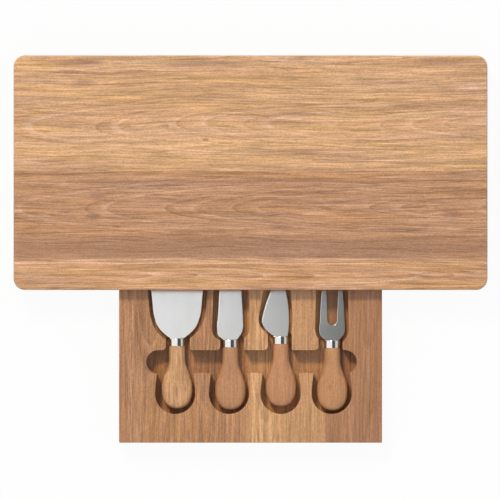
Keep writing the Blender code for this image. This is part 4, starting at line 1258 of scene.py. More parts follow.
@dataclass
class Feet:
    """Four rubber feet and the screws that hold them.

    The ring is the groove in a foot's sole, and ring_section is its section, as (across, up)
    from the middle of the ring. A turn of the thread is given in shares of its pitch and of the
    shank's radius.
    """

    height: float = 0.0040
    top_radius: float = 0.0070
    bottom_radius: float = 0.0063
    rim_round: float = 0.0006
    rim_steps: int = 6
    edge_ease: float = 0.0002
    recess_radius: float = 0.0037
    bore_radius: float = 0.0018
    flange: float = 0.0016
    ring_radius: float = 0.0050
    ring_section: Shares = ((0.00035, 0.0), (0.0002, 0.0003), (-0.0002, 0.0003), (-0.00035, 0.0))
    seat_gap: float = 0.0003
    head_radius: float = 0.0034
    head_height: float = 0.0015
    dome_height: float = 0.0005
    dome_steps: int = 8
    shank_radius: float = 0.0015
    shank_steps: int = 40
    length: float = 0.0120
    point_length: float = 0.0030
    pitch: float = 0.0011
    turn_shares: Shares = ((0.30, 0.80), (0.65, 0.99), (1.00, 0.80))
    thread_crease: float = 45.0
    drive_half: float = 0.00045
    drive_reach: float = 0.0018
    drive_depth: float = 0.0008
    drive_overrun: float = 0.001

    def foot(self, name: str) -> Mesh:
        """Turn one foot, with a rounded rim and a ring groove in its sole.

        Args:
            name: Name of the mesh.

        Returns:
            The mesh.
        """
        ceiling = self.height - self.flange
        rim = arc(Vector((self.bottom_radius - self.rim_round, self.rim_round)), self.rim_round,
                  0, -90, self.rim_steps)
        profile = [(self.bore_radius, self.height), (self.top_radius - self.edge_ease, self.height),
                   (self.top_radius, self.height - self.edge_ease)]
        profile += [tuple(point) for point in rim]
        profile += [(self.ring_radius + across, up) for across, up in self.ring_section]
        profile += [(self.recess_radius + self.edge_ease, 0.0), (self.recess_radius, self.edge_ease),
                    (self.recess_radius, ceiling), (self.bore_radius, ceiling),
                    (self.bore_radius, self.height)]
        return turned(name, profile)

    def screw(self, name: str, bench: Bench) -> Mesh:
        """Turn one screw with a domed head and cut its cross recess.

        Args:
            name: Name of the mesh.
            bench: Where it is cut.

        Returns:
            The mesh.
        """
        seat = self.height - self.flange - self.seat_gap
        head = seat - self.head_height
        profile = [(self.head_radius * math.sin(turn), head + self.dome_height * (1 - math.cos(turn)))
                   for turn in quarter_turn(self.dome_steps)]
        profile += [(self.head_radius, seat), (self.shank_radius, seat)]
        for index in range(int((self.length - self.point_length) / self.pitch)):
            profile += [(self.shank_radius * out_share, seat + self.pitch * (index + up_share))
                        for up_share, out_share in self.turn_shares]
        profile.append((0.0, seat + self.length))
        blank = turned(f"{name}_blank", profile, self.shank_steps, self.thread_crease)
        slots = []
        for across, along in ((self.drive_reach, self.drive_half), (self.drive_half, self.drive_reach)):
            slot = block(f"{name}_slot", (-across, -along, head - self.drive_overrun),
                         (across, along, head + self.drive_depth))
            slots.append(bench.cutter(slot))
        return bench.cut(name, blank, slots)

    def build(self, bench: Bench) -> None:
        """Set a foot and a screw at each corner.

        Args:
            bench: Where the screws are cut.
        """
        parts = (("foot", self.foot("foot"), FOOT_RUBBER.material()),
                 ("foot_screw", self.screw("foot_screw", bench), SCREW_STEEL.material()))
        for corner in (f"{end}_{side.word}" for end in ("front", "back") for side in Side):
            low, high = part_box(f"foot_{corner}")
            place = Matrix.Translation(((low.x + high.x) / 2, (low.y + high.y) / 2, 0.0))
            for part, mesh, finish in parts:
                copy = mesh.copy()
                copy.transform(place)
                place_piece(copy, Body.BOARD, [finish], f"{part}_{corner}")


@dataclass(frozen=True)
class ToolForm:
    """Sizes of one cheese tool and of the pocket that it lies in.

    The sides are given from the shoulder on, left and right, as shares of the blade's length
    and width. The shifts are how far each part of the pocket lies beside the tool's axis.
    """

    body: Body
    axis_x: float
    handle_end: float
    blade_length: float
    blade_width: float
    side_shares: tuple[Shares, Shares]
    tip_width: float
    tip_radius: float
    bulb_shift: float
    neck_shift: float
    blade_shift: float
    clearance: float
    tip_share: float
    handle_wood: StaveWood
    blade_tone_and_shade: Colour = BLADE_TONE
    tip_ground: bool = False
    slotted: bool = False
    tip_room: float = 0.0100
    ground_share: float = 1.0
    swells: tuple[float, float] = (0.0, 0.0)
    pocket_swells: tuple[float, float] = (0.0, 0.0)
    shoulder_share: float = 1.0

    @property
    def name(self) -> str:
        """Name of the tool."""
        return self.body.value

    def blade_steel(self) -> HardFinish:
        """Give the steel of the blade in the tool's tone, which for the fork is darkened as painted
        shade.
        """
        return replace(BLADE_STEEL, name=f"steel_{self.name}_blade", marked=self.blade_tone_and_shade,
                       colour=dimmed(self.blade_tone_and_shade, BRUSHED_SHARE))

    def ferrule_steel(self) -> HardFinish:
        """Give the steel of the ferrule."""
        return replace(FERRULE_STEEL, name=f"steel_{self.name}_ferrule")


@dataclass
class ToolKit:
    """The four cheese tools, what they share, and how they lie in the drawer.

    The edge levels give a blade's section from its sole up, as (share of its thickness, share of
    the ground edge, how far every edge is eased).
    """

    forms: tuple[ToolForm, ...]
    drawer_front: float
    drawer_top: float
    gap: float = 0.0003
    blade_depth: float = 0.0125
    handle_depth: float = 0.0160
    thickness: float = 0.0015
    neck_width: float = 0.0116
    grind: float = 0.0010
    grind_start_share: float = 0.10
    grind_fade_share: float = 0.15
    tip_fade_share: float = 0.12
    edge_levels: tuple[tuple[float, float, float], ...] = (
        (0.0, 0.80, 0.00030), (0.05, 0.62, 0.00014), (0.16, 0.22, 0.00003), (0.22, 0.0, 0.0),
        (0.70, 0.0, 0.0), (0.84, 0.02, 0.00004), (0.92, 0.07, 0.00010), (0.955, 0.40, 0.00016),
        (0.985, 0.80, 0.00026), (1.0, 1.0, 0.00040), (1.0, 1.0, 0.00055))
    blade_crease: float = 40.0
    side_steps: int = 6
    tip_steps: int = 10
    ease_at_tip: float = 0.15
    ease_growth: float = 0.10
    ease_at_shoulder: float = 0.0001
    shoulder_growth: float = 0.20
    swell_start: float = 0.0025
    swell_end: float = 0.0160
    tang_half: float = 0.0030
    tang_length: float = 0.0300
    tang_overrun: float = 0.0030
    slot_base: float = 0.0040
    slot_mouth: float = 0.0058
    slot_start: float = 0.0128
    slot_steps: int = 24
    ferrule_radius: float = 0.0069
    ferrule_length: float = 0.0065
    ferrule_wall: float = 0.0006
    ferrule_round: float = 0.0006
    ferrule_lip: float = 0.00018
    ferrule_fullness: float = 0.09
    ferrule_steps: int = 64
    ferrule_round_steps: int = 6
    joint: float = 0.00004
    handle_length: float = 0.0525
    handle_sides: int = 56
    handle_crease: float = 50.0
    spigot_gap: float = 0.0012
    spigot_ease: float = 0.0005
    spigot_root: float = 0.00002
    neck_length: float = 0.0105
    neck_radius: float = 0.0068
    neck_ease: float = 0.00025
    neck_ease_share: float = 0.3
    neck_fullness: float = 0.55
    bulb_width: float = 0.0260
    bulb_thickness: float = 0.0134
    bulb_from_neck: float = 0.0354
    flare_length: float = 0.0225
    flare_steps: int = 14
    end_steps: int = 16
    end_share: float = 0.99998
    end_power: float = 2.3
    end_thickness_power: float = 3.4
    section_power: float = 3.2

    def shoulder_y(self, form: ToolForm) -> float:
        """Give the place along Y where the blade meets the ferrule."""
        return (self.drawer_front + form.handle_end + self.handle_length + self.gap
                + self.ferrule_length + self.gap)

    def lie(self, form: ToolForm) -> Matrix:
        """Give the place and tilt of a tool, tip on one floor and ferrule on the deeper one.

        Args:
            form: The tool.

        Returns:
            Its matrix, from a frame with the origin under the tip.
        """
        drop = self.ferrule_radius - self.thickness / 2
        run = form.blade_length + self.gap
        deeper = self.handle_depth - self.blade_depth
        tilt = math.atan2(drop, run) - math.asin(deeper / math.hypot(run, drop))
        tip = (form.axis_x, self.shoulder_y(form) + form.blade_length,
               self.drawer_top - self.blade_depth + self.gap)
        return Matrix.Translation(tip) @ Matrix.Rotation(-tilt, 4, "X")

    def blade_side(self, form: ToolForm, side: Side, shares: Shares, swell: float) -> Outline:
        """Draw one side of a blade from its shoulder towards its tip.

        Args:
            form: The tool.
            side: The side.
            shares: Places along it, as shares of the blade's length and width.
            swell: How far it swells just above the shoulder.

        Returns:
            Points of the side, with the shoulder at the origin.
        """
        stations = [Vector((side.value * self.neck_width / 2, 0.0, 0.0))]
        for along, across in shares:
            height = form.blade_length * along
            rising = min(1.0, height / self.swell_start)
            falling = max(0.0, 1 - height / self.swell_end)
            half = form.blade_width * across + swell * rising * falling
            stations.append(Vector((side.value * half, height, 0.0)))
        return smooth_path(stations, self.side_steps)

    def ground(self, form: ToolForm, height: float) -> float:
        """Tell how much of the ground edge there is at a height above the shoulder.

        Args:
            form: The tool.
            height: The height.

        Returns:
            The share, from 0 to 1.
        """
        place = height / form.blade_length
        rising = (place - self.grind_start_share) / self.grind_fade_share
        falling = 1.0 if form.tip_ground else (1 - place) / self.tip_fade_share
        return max(0.0, min(1.0, rising, falling))

    def eased(self, form: ToolForm, height: float) -> float:
        """Tell how far the edges are eased at a height: less where the blade is narrow.

        Args:
            form: The tool.
            height: The height above the shoulder.

        Returns:
            The share, up to 1.
        """
        most = self.edge_levels[-1][2]
        at_tip = form.tip_room * self.ease_at_tip + (form.blade_length - height) * self.ease_growth
        at_shoulder = self.ease_at_shoulder + abs(height) * self.shoulder_growth
        return min(1.0, at_tip / most, at_shoulder / most)

    def tip(self, form: ToolForm, left: Vector, right: Vector) -> Outline:
        """Draw a blade's end, from its left side to its right: tines round a slot, or a tip.

        Args:
            form: The tool.
            left: Where its left side ends.
            right: Where its right side ends.

        Returns:
            Points of the end.
        """
        half = form.tip_width / 2
        left_tip, right_tip = Vector((-half, form.blade_length)), Vector((half, form.blade_length))
        if not form.slotted:
            return (fillet(left, left_tip, right_tip, form.tip_radius, self.tip_steps)
                    + fillet(left_tip, right_tip, right, form.tip_radius, self.tip_steps))
        end = Vector((0.0, self.slot_start + self.slot_base))
        return [left_tip, Vector((-self.slot_mouth, left_tip.y)),
                *arc(end, self.slot_base, 180, 360, self.slot_steps),
                Vector((self.slot_mouth, right_tip.y)), right_tip]

    def blade_outline(self, form: ToolForm) -> tuple[Outline, list[float]]:
        """Draw a blade and its tang, anticlockwise.

        Args:
            form: The tool.

        Returns:
            The outline, and how much of the ground edge each point has.
        """
        left, right = (self.blade_side(form, side, shares, swell)
                       for side, shares, swell in zip(Side, form.side_shares, form.swells))
        ends = self.tip(form, left[-1], right[-1])
        tang = [Vector((self.tang_half, 0.0)), Vector((self.tang_half, -self.tang_length)),
                Vector((-self.tang_half, -self.tang_length)), Vector((-self.tang_half, 0.0))]
        points = [*left, *ends, *reversed(right), *tang]
        shares = [self.ground(form, point.y) for point in left]
        shares += [1.0 if form.tip_ground else 0.0] * len(ends)
        shares += [0.0] * (len(right) + len(tang))
        return points[::-1], shares[::-1]

    def blade(self, form: ToolForm) -> Mesh:
        """Forge one blade: ground on its cutting edge, with every other edge eased.

        Args:
            form: The tool.

        Returns:
            The mesh, in the tool's own frame.
        """
        outline, shares = self.blade_outline(form)
        eases = [self.eased(form, point.y) for point in outline]
        rings = []
        for level, reach, ease in self.edge_levels:
            height = self.thickness * level
            inset = [-(self.grind * form.ground_share * share * reach + ease * room)
                     for share, room in zip(shares, eases)]
            rings.append([(point.x, point.y - form.blade_length, height)
                          for point in grown(outline, inset)])
        return loft(f"{form.name}_blade", rings, self.blade_crease)

    def tang_room(self, name: str, form: ToolForm, back: float) -> Mesh:
        """Make the cutter that leaves room for a tang.

        Args:
            name: Name of the cutter.
            form: The tool.
            back: Where it starts along Y. It ends just past the shoulder.

        Returns:
            The cutter, in the tool's own frame.
        """
        half = self.tang_half + self.gap
        return block(name, (-half, back, -self.gap),
                     (half, self.tang_overrun - form.blade_length, self.thickness + self.gap))

    def ferrule(self, form: ToolForm, bench: Bench) -> Mesh:
        """Draw one cap, closed in front but for the tang's slot.

        Args:
            form: The tool.
            bench: Where it is cut.

        Returns:
            The mesh, in the tool's own frame.
        """
        inside = self.ferrule_radius - self.ferrule_wall
        long = self.ferrule_length + self.gap - self.joint
        rounding = arc(Vector((self.ferrule_radius - self.ferrule_round, long - self.ferrule_round)),
                       self.ferrule_round, 90, 0, self.ferrule_round_steps)
        profile = [(0.0, long), *(tuple(point) for point in rounding),
                   (self.ferrule_radius, self.ferrule_lip),
                   (self.ferrule_radius - self.ferrule_lip, 0.0), (inside, 0.0),
                   (inside, long - self.ferrule_wall), (0.0, long - self.ferrule_wall)]
        blank = turned(f"{form.name}_cap", profile, self.ferrule_steps)
        for point in blank.vertices:
            double = 2 * math.atan2(point.co.y, point.co.x)
            fuller = 1 + self.ferrule_fullness * math.sin(double) ** 4
            point.co.x *= fuller
            point.co.y *= fuller
        rear = -form.blade_length - self.gap - self.ferrule_length - self.gap + self.joint
        blank.transform(Matrix.Translation((0.0, rear, self.thickness / 2))
                        @ Matrix.Rotation(math.radians(-90), 4, "X"))
        slot = self.tang_room(f"{form.name}_slot", form, rear + long / 2)
        return bench.cut(f"{form.name}_ferrule", blank, [bench.cutter(slot)])

    def stations(self) -> list[tuple[float, float, float]]:
        """List a handle's sections, from its spigot to its end.

        Returns:
            Each section as (distance behind the handle's front, half width, half thickness).
        """
        spigot = self.ferrule_radius - self.ferrule_wall - self.gap
        neck, ease = self.neck_radius, self.neck_ease
        part_ease = ease * self.neck_ease_share
        tip = self.spigot_gap - self.ferrule_length
        round_part = [(tip, spigot - self.spigot_ease), (tip + self.spigot_ease, spigot),
                      (-self.spigot_root, spigot), (0.0, neck - ease),
                      (part_ease, neck - part_ease), (ease, neck),
                      (self.neck_length / 2, neck), (self.neck_length, neck)]
        rows = [(distance, radius, radius) for distance, radius in round_part]
        bulb, thick = self.bulb_width / 2, self.bulb_thickness / 2
        for step in range(1, self.flare_steps + 1):
            share = step / self.flare_steps
            rise = share * share * (3 - 2 * share)
            rows.append((self.neck_length + self.flare_length * share,
                         neck + (bulb - neck) * rise, neck + (thick - neck) * rise))
        rest = self.handle_length - self.bulb_from_neck
        for turn in quarter_turn(self.end_steps):
            reach = math.sin(turn) * self.end_share
            narrowed = (1 - reach ** self.end_power) ** (1 / self.end_power)
            thinned = (1 - reach ** self.end_thickness_power) ** (1 / self.end_thickness_power)
            rows.append((self.bulb_from_neck + rest * reach, bulb * narrowed, thick * thinned))
        return rows

    def section(self, distance: float) -> list[tuple[float, float]]:
        """Draw a handle's section, rounder at the neck and squarer at the bulb.

        Args:
            distance: How far it lies behind the handle's front.

        Returns:
            Points of a section with a half width and a half height of 1.
        """
        flared = min(1.0, (distance - self.neck_length) / self.flare_length)
        power = 2 / (2 + (self.section_power - 2) * max(self.neck_fullness, flared))
        points = []
        for index in range(self.handle_sides):
            angle = math.tau * index / self.handle_sides
            points.append(tuple(math.copysign(abs(part) ** power, part)
                                for part in (math.cos(angle), math.sin(angle))))
        return points

    def handle(self, form: ToolForm, bench: Bench) -> Mesh:
        """Shape one handle, its spigot in the ferrule and its bore round the tang.

        Args:
            form: The tool.
            bench: Where it is cut.

        Returns:
            The mesh, in the tool's own frame.
        """
        front = -form.blade_length - self.gap - self.ferrule_length - self.gap
        rings = []
        for distance, half_width, half_height in self.stations():
            rings.append([(half_width * across, front - distance,
                           self.thickness / 2 + half_height * upward)
                          for across, upward in self.section(distance)])
        blank = loft(f"{form.name}_turning", rings, self.handle_crease)
        bore = self.tang_room(f"{form.name}_bore", form,
                              -form.blade_length - self.tang_length - 2 * self.gap)
        return bench.cut(f"{form.name}_handle", blank, [bench.cutter(bore)])

    def build(self, bench: Bench) -> None:
        """Make the tools and lay them in the drawer.

        Args:
            bench: Where they are cut.
        """
        for form in self.forms:
            lie = self.lie(form)
            for part, mesh, finish in (
                    ("blade", self.blade(form), form.blade_steel()),
                    ("ferrule", self.ferrule(form, bench), form.ferrule_steel()),
                    ("handle", self.handle(form, bench), form.handle_wood)):
                mesh.transform(lie)
                place_piece(mesh, form.body, [finish.material()], f"{form.name}_{part}")


@dataclass
class Drawer:
    """Thick routed board of three glued staves, with two stop dowels near its rear corners."""

    kit: ToolKit
    edge_round: float = 0.0006
    edge_steps: int = 3
    corner_radius: float = 0.0008
    overrun: float = 0.004
    lip: float = 0.00035
    lip_steps: int = 3
    pocket_from_front: float = 0.0243
    bulb_radius: float = 0.0169
    bulb_mouth: float = 0.0146
    bulb_steps: int = 44
    rise_steps: int = 12
    neck_waist: float = 0.0101
    neck_flares: tuple[float, float] = (0.0034, 0.0015)
    neck_bite: float = 0.00005
    neck_root: float = 0.0014
    neck_lead: float = 0.0030
    neck_round: float = 0.0027
    neck_steps: int = 8
    tip_round: float = 0.0050
    tip_steps: int = 10
    shoulder_run: float = 0.0060
    channel_from_front: float = 0.0682
    channel_half: float = 0.00985
    channel_left: float = 0.0243
    channel_right: float = 0.0211
    channel_steps: int = 28
    channel_arch: float = 0.0008
    arch_steps: int = 16
    groove_inner: float = 0.1070
    groove_front: float = 0.0125
    groove_half: float = 0.0033
    groove_slack: float = 0.0003
    dowel_x: float = 0.0990
    dowel_y: float = 0.00715
    dowel_hole: float = 0.0032
    dowel_depth: float = 0.0070
    dowel_steps: int = 32
    pull_radius: float = 0.0075
    pull_length: float = 0.0800
    pull_round: float = 0.0050
    pull_steps: int = 8
    pull_clear: float = 0.0001
    pull_turn: float = 3.0
    sole_margin: float = 0.001
    lip_share: float = 0.9

    def routed(self, name: str, outline: Outline, floor: float) -> Mesh:
        """Make the cutter of a pocket, with its rim eased.

        Args:
            name: Name of the cutter.
            outline: Outline of the pocket, anticlockwise.
            floor: Height of its floor.

        Returns:
            The cutter.
        """
        top = self.kit.drawer_top
        levels = [(outline, floor), (outline, top - self.lip)]
        for turn in quarter_turn(self.lip_steps)[1:]:
            reach = self.lip * (1 - math.cos(turn))
            levels.append((grown(outline, reach), top - self.lip * (1 - math.sin(turn))))
        levels.append((grown(outline, self.lip), top + self.overrun))
        return raised(name, levels)

    @property
    def corners(self) -> tuple[Vector, Vector]:
        """The drawer's lowest and highest corner."""
        left, _, right = DRAWER_WOODS
        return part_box(left)[0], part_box(right)[1]

    def channel_y(self) -> float:
        """Give the middle of the finger channel along Y."""
        return self.kit.drawer_front + self.channel_from_front

    def channel(self) -> Outline:
        """Draw the finger channel, its near edge arched between pockets.

        Returns:
            The outline, anticlockwise.
        """
        centres = [form.axis_x + form.bulb_shift for form in self.kit.forms]
        middle = self.channel_y()
        left = Vector((centres[0] - self.channel_left + self.channel_half, middle))
        right = Vector((centres[-1] + self.channel_right - self.channel_half, middle))
        outline = arc(left, self.channel_half, 90, 270, self.channel_steps)
        near = middle - self.channel_half
        for start, end in zip(centres, centres[1:]):
            low, high = start + self.bulb_mouth, end - self.bulb_mouth
            for step in range(self.arch_steps + 1):
                share = step / self.arch_steps
                outline.append(Vector((low + (high - low) * share,
                                       near + self.channel_arch * math.sin(math.pi * share))))
        return outline + arc(right, self.channel_half, -90, 90, self.channel_steps)

    def bulb(self, form: ToolForm) -> Outline:
        """Draw the pocket round the broad end of a handle.

        Args:
            form: The tool.

        Returns:
            The outline, anticlockwise.
        """
        middle = form.axis_x + form.bulb_shift
        height = self.kit.drawer_front + self.pocket_from_front + self.bulb_radius
        outline = arc(Vector((middle, height)), self.bulb_radius, 180, 360, self.bulb_steps)
        rising = []
        for step in range(1, self.rise_steps + 1):
            share = step / self.rise_steps
            ease = (1 - math.cos(math.pi * share)) / 2
            rising.append((self.bulb_radius + (self.bulb_mouth - self.bulb_radius) * ease,
                           height + (self.channel_y() - height) * share))
        outline += [Vector((middle + half, level)) for half, level in rising]
        return outline + [Vector((middle - half, level)) for half, level in reversed(rising)]

    def neck(self, form: ToolForm) -> Outline:
        """Draw the deep pocket round a ferrule and a handle's neck.

        Args:
            form: The tool.

        Returns:
            The outline, anticlockwise.
        """
        middle = form.axis_x + form.neck_shift
        shoulder = self.kit.shoulder_y(form)
        lead = shoulder + self.neck_lead
        far = self.channel_y() + self.channel_half - self.neck_bite
        near = self.channel_y() - self.neck_root
        left_flare, right_flare = self.neck_flares
        wide_left = middle - self.neck_waist - left_flare
        wide_right = middle + self.neck_waist + right_flare
        right = [Vector((middle + self.neck_waist, y)) for y in (far, shoulder, lead)]
        left = [Vector((middle - self.neck_waist, y)) for y in (lead, shoulder, far)]
        outline = [Vector((wide_left, near)), Vector((wide_right, near))]
        for before, corner, after, radius in (
                (Vector((wide_right, far)), right[0], right[1], right_flare),
                (right[1], right[2], left[0], self.neck_round),
                (right[2], left[0], left[1], self.neck_round),
                (left[1], left[2], Vector((wide_left, far)), left_flare)):
            outline += fillet(before, corner, after, radius, self.neck_steps)
        return outline

    def room(self, form: ToolForm, height: float) -> float:
        """Give the clearance round a blade at a height above its shoulder."""
        share = min(1.0, max(0.0, height / self.shoulder_run))
        return form.clearance * (form.shoulder_share + (1 - form.shoulder_share) * share)

    def blade(self, form: ToolForm) -> Outline:
        """Draw the shallower pocket that follows a blade, closer in at its shoulder.

        Args:
            form: The tool.

        Returns:
            The outline, anticlockwise.
        """
        shift = Vector((form.axis_x + form.blade_shift, self.kit.shoulder_y(form)))
        paths, tips = [], []
        for side, shares, swell in zip(Side, form.side_shares, form.pocket_swells):
            widest = max(range(len(shares)), key=lambda index: shares[index][1])
            stations = shares[:min(widest + 1, len(shares) - 1)]
            path = self.kit.blade_side(form, side, stations, swell)
            rooms = [-side.value * self.room(form, point.y) for point in path]
            reach = form.blade_width * shares[widest][1] * form.tip_share + form.clearance
            paths.append(offset_path(path, rooms))
            tips.append(Vector((side.value * reach, form.blade_length + form.clearance)))
        (left, right), (left_tip, right_tip) = paths, tips
        outline = [*right,
                   *fillet(right[-1], right_tip, left_tip, self.tip_round, self.tip_steps),
                   *fillet(right_tip, left_tip, left[-1], self.tip_round, self.tip_steps),
                   *reversed(left)]
        return [point + shift for point in outline]

    def runner_groove(self, side: Side) -> Mesh:
        """Make the cutter of the groove that a runner holds the drawer by.

        Args:
            side: The side that it is on.

        Returns:
            The cutter.
        """
        low, high = self.corners
        middle = (low.z + high.z) / 2
        start, end = sorted((side.value * self.groove_inner, side.value * (high.x + self.overrun)))
        return block(f"runner_groove_{side.word}",
                     (start, low.y + self.groove_front, middle - self.groove_half - self.groove_slack),
                     (end, high.y + self.overrun, middle + self.groove_half))

    def dowel_bore(self, side: Side) -> Mesh:
        """Make the cutter of the hole that a stop dowel is glued into.

        Args:
            side: The side that it is on.

        Returns:
            The cutter.
        """
        profile = ((0.0, -self.dowel_depth), (self.dowel_hole, -self.dowel_depth),
                   (self.dowel_hole, self.overrun), (0.0, self.overrun))
        hole = turned(f"dowel_hole_{side.word}", profile, self.dowel_steps)
        hole.transform(Matrix.Translation((side.value * self.dowel_x, self.dowel_y,
                                           self.kit.drawer_top)))
        return hole

    def pull(self) -> Mesh:
        """Make the cutter of the finger pull under the front edge.

        Returns:
            The cutter, a little turned and clear of the corner, so that no face of it meets a
            face of the drawer edge to edge.
        """
        low, _ = self.corners
        half = self.pull_length / 2
        end = arc(Vector((self.pull_radius - self.pull_round, half - self.pull_round)),
                  self.pull_round, 0, 90, self.pull_steps)
        profile = [(0.0, -half), *((point.x, -point.y) for point in reversed(end)),
                   *(tuple(point) for point in end), (0.0, half)]
        mesh = turned("finger_pull", profile)
        mesh.transform(Matrix.Translation((0.0, low.y - self.pull_clear, low.z - self.pull_clear))
                       @ Matrix.Rotation(math.radians(90), 4, "Y")
                       @ Matrix.Rotation(math.radians(self.pull_turn), 4, "Z"))
        return mesh

    def cutters(self, bench: Bench) -> list[Item]:
        """Set out every cutter of the drawer.

        Args:
            bench: Where it is cut.

        Returns:
            The cutters.
        """
        deep = self.kit.drawer_top - self.kit.handle_depth
        shallow = self.kit.drawer_top - self.kit.blade_depth
        meshes = [self.routed("channel", self.channel(), deep), self.pull()]
        for form in self.kit.forms:
            for part, outline, floor in (("bulb", self.bulb(form), deep),
                                         ("neck", self.neck(form), deep),
                                         ("blade", self.blade(form), shallow)):
                meshes.append(self.routed(f"{form.name}_{part}_pocket", outline, floor))
        for side in Side:
            meshes += [self.runner_groove(side), self.dowel_bore(side)]
        return [bench.cutter(mesh) for mesh in meshes]

    def mark_routed_and_shaded(self, mesh: Mesh) -> None:
        """Give the pocket faces the second finish: the router's darker wood, darkened further as painted
        shade.

        Args:
            mesh: One stave.
        """
        low, high = self.corners
        for face in mesh.polygons:
            x, y, z = face.center
            inside = (abs(x) < self.dowel_x - self.dowel_hole
                      and low.y + self.pocket_from_front / 2 < y < high.y - self.pull_radius
                      and low.z + self.sole_margin < z < high.z - self.lip * self.lip_share)
            face.material_index = int(inside)

    def build(self, bench: Bench) -> None:
        """Cut the staves from one routed blank.

        Args:
            bench: Where they are cut.
        """
        blank = cushioned("drawer", *self.corners, self.corner_radius, self.edge_round, self.edge_steps)
        blank = bench.cut("drawer", blank, self.cutters(bench))
        spans = spans_along(0, tuple(DRAWER_WOODS), self.overrun)
        for node, mesh in bench.saw(blank, spans).items():
            wood = DRAWER_WOODS[node]
            place_piece(mesh, Body.DRAWER, [wood.material(), wood.routed().material()], node)
            self.mark_routed_and_shaded(mesh)
        dowel = DOWEL_WOOD.material()
        for side in Side:
            carry_over(f"stop_dowel_{side.word}", dowel)


# Forms of the tools

HANDLE_WOOD = StaveWood(
    "wood_handle", body=tone(190, 138, 96), pale=tone(204, 152, 110), ochre=tone(164, 115, 80),
    warm=tone(190, 138, 96), grain=Grain.ALONG_Y, pith=(-0.11, 0.0, -0.030), ring=0.0020, wander=0.0025,
    roughness=0.42, line_strength=0.35, glow_strength=0.35, fibre_strength=0.20, grit=0.12,
    vein_strength=0.25)


def handle_wood(body: Body, tones: tuple[Colour, Colour, Colour], across: float, seed: float,
                **more: object) -> StaveWood:
    """Describe the wood of a handle.

    Args:
        body: The tool.
        tones: Its main tone, its paler tone and the tone of its late wood.
        across: Where its pith lies across the board.
        seed: What sets this piece apart.
        **more: Other fields of the wood.

    Returns:
        The wood.
    """
    main, pale, ochre = tones
    start, _, depth = HANDLE_WOOD.pith
    return replace(HANDLE_WOOD, name=f"wood_{body.value}_handle", body=main, warm=main, pale=pale,
                   ochre=ochre, pith=(start, across, depth), seed=seed, **more)


PLANE_SIDE_SHARES: Shares = (
    (0.035, 0.160), (0.105, 0.262), (0.174, 0.333), (0.250, 0.384),
    (0.340, 0.416), (0.500, 0.437), (0.660, 0.457), (0.940, 0.494),
)
SPREADER_LEFT_SHARES: Shares = (
    (0.012, 0.340), (0.050, 0.460), (0.110, 0.500), (0.180, 0.510),
    (0.350, 0.478), (0.625, 0.440), (0.850, 0.405),
)
SPREADER_RIGHT_SHARES: Shares = (
    (0.025, 0.310), (0.070, 0.400), (0.120, 0.463), (0.180, 0.490),
    (0.350, 0.478), (0.625, 0.430), (0.850, 0.395),
)
POINTED_LEFT_SHARES: Shares = (
    (0.028, 0.316), (0.078, 0.480), (0.128, 0.597), (0.177, 0.671), (0.228, 0.693),
    (0.277, 0.676), (0.326, 0.640), (0.426, 0.558), (0.525, 0.455), (0.610, 0.377),
    (0.800, 0.200), (0.950, 0.060),
)
POINTED_RIGHT_SHARES: Shares = (
    (0.078, 0.273), (0.177, 0.299), (0.252, 0.307), (0.326, 0.299),
    (0.426, 0.273), (0.610, 0.185), (0.800, 0.095), (0.950, 0.030),
)
FORK_SIDE_SHARES: Shares = (
    (0.020, 0.310), (0.055, 0.400), (0.090, 0.462), (0.150, 0.500),
    (0.260, 0.493), (0.370, 0.481), (0.470, 0.465), (0.650, 0.420), (0.940, 0.345),
)

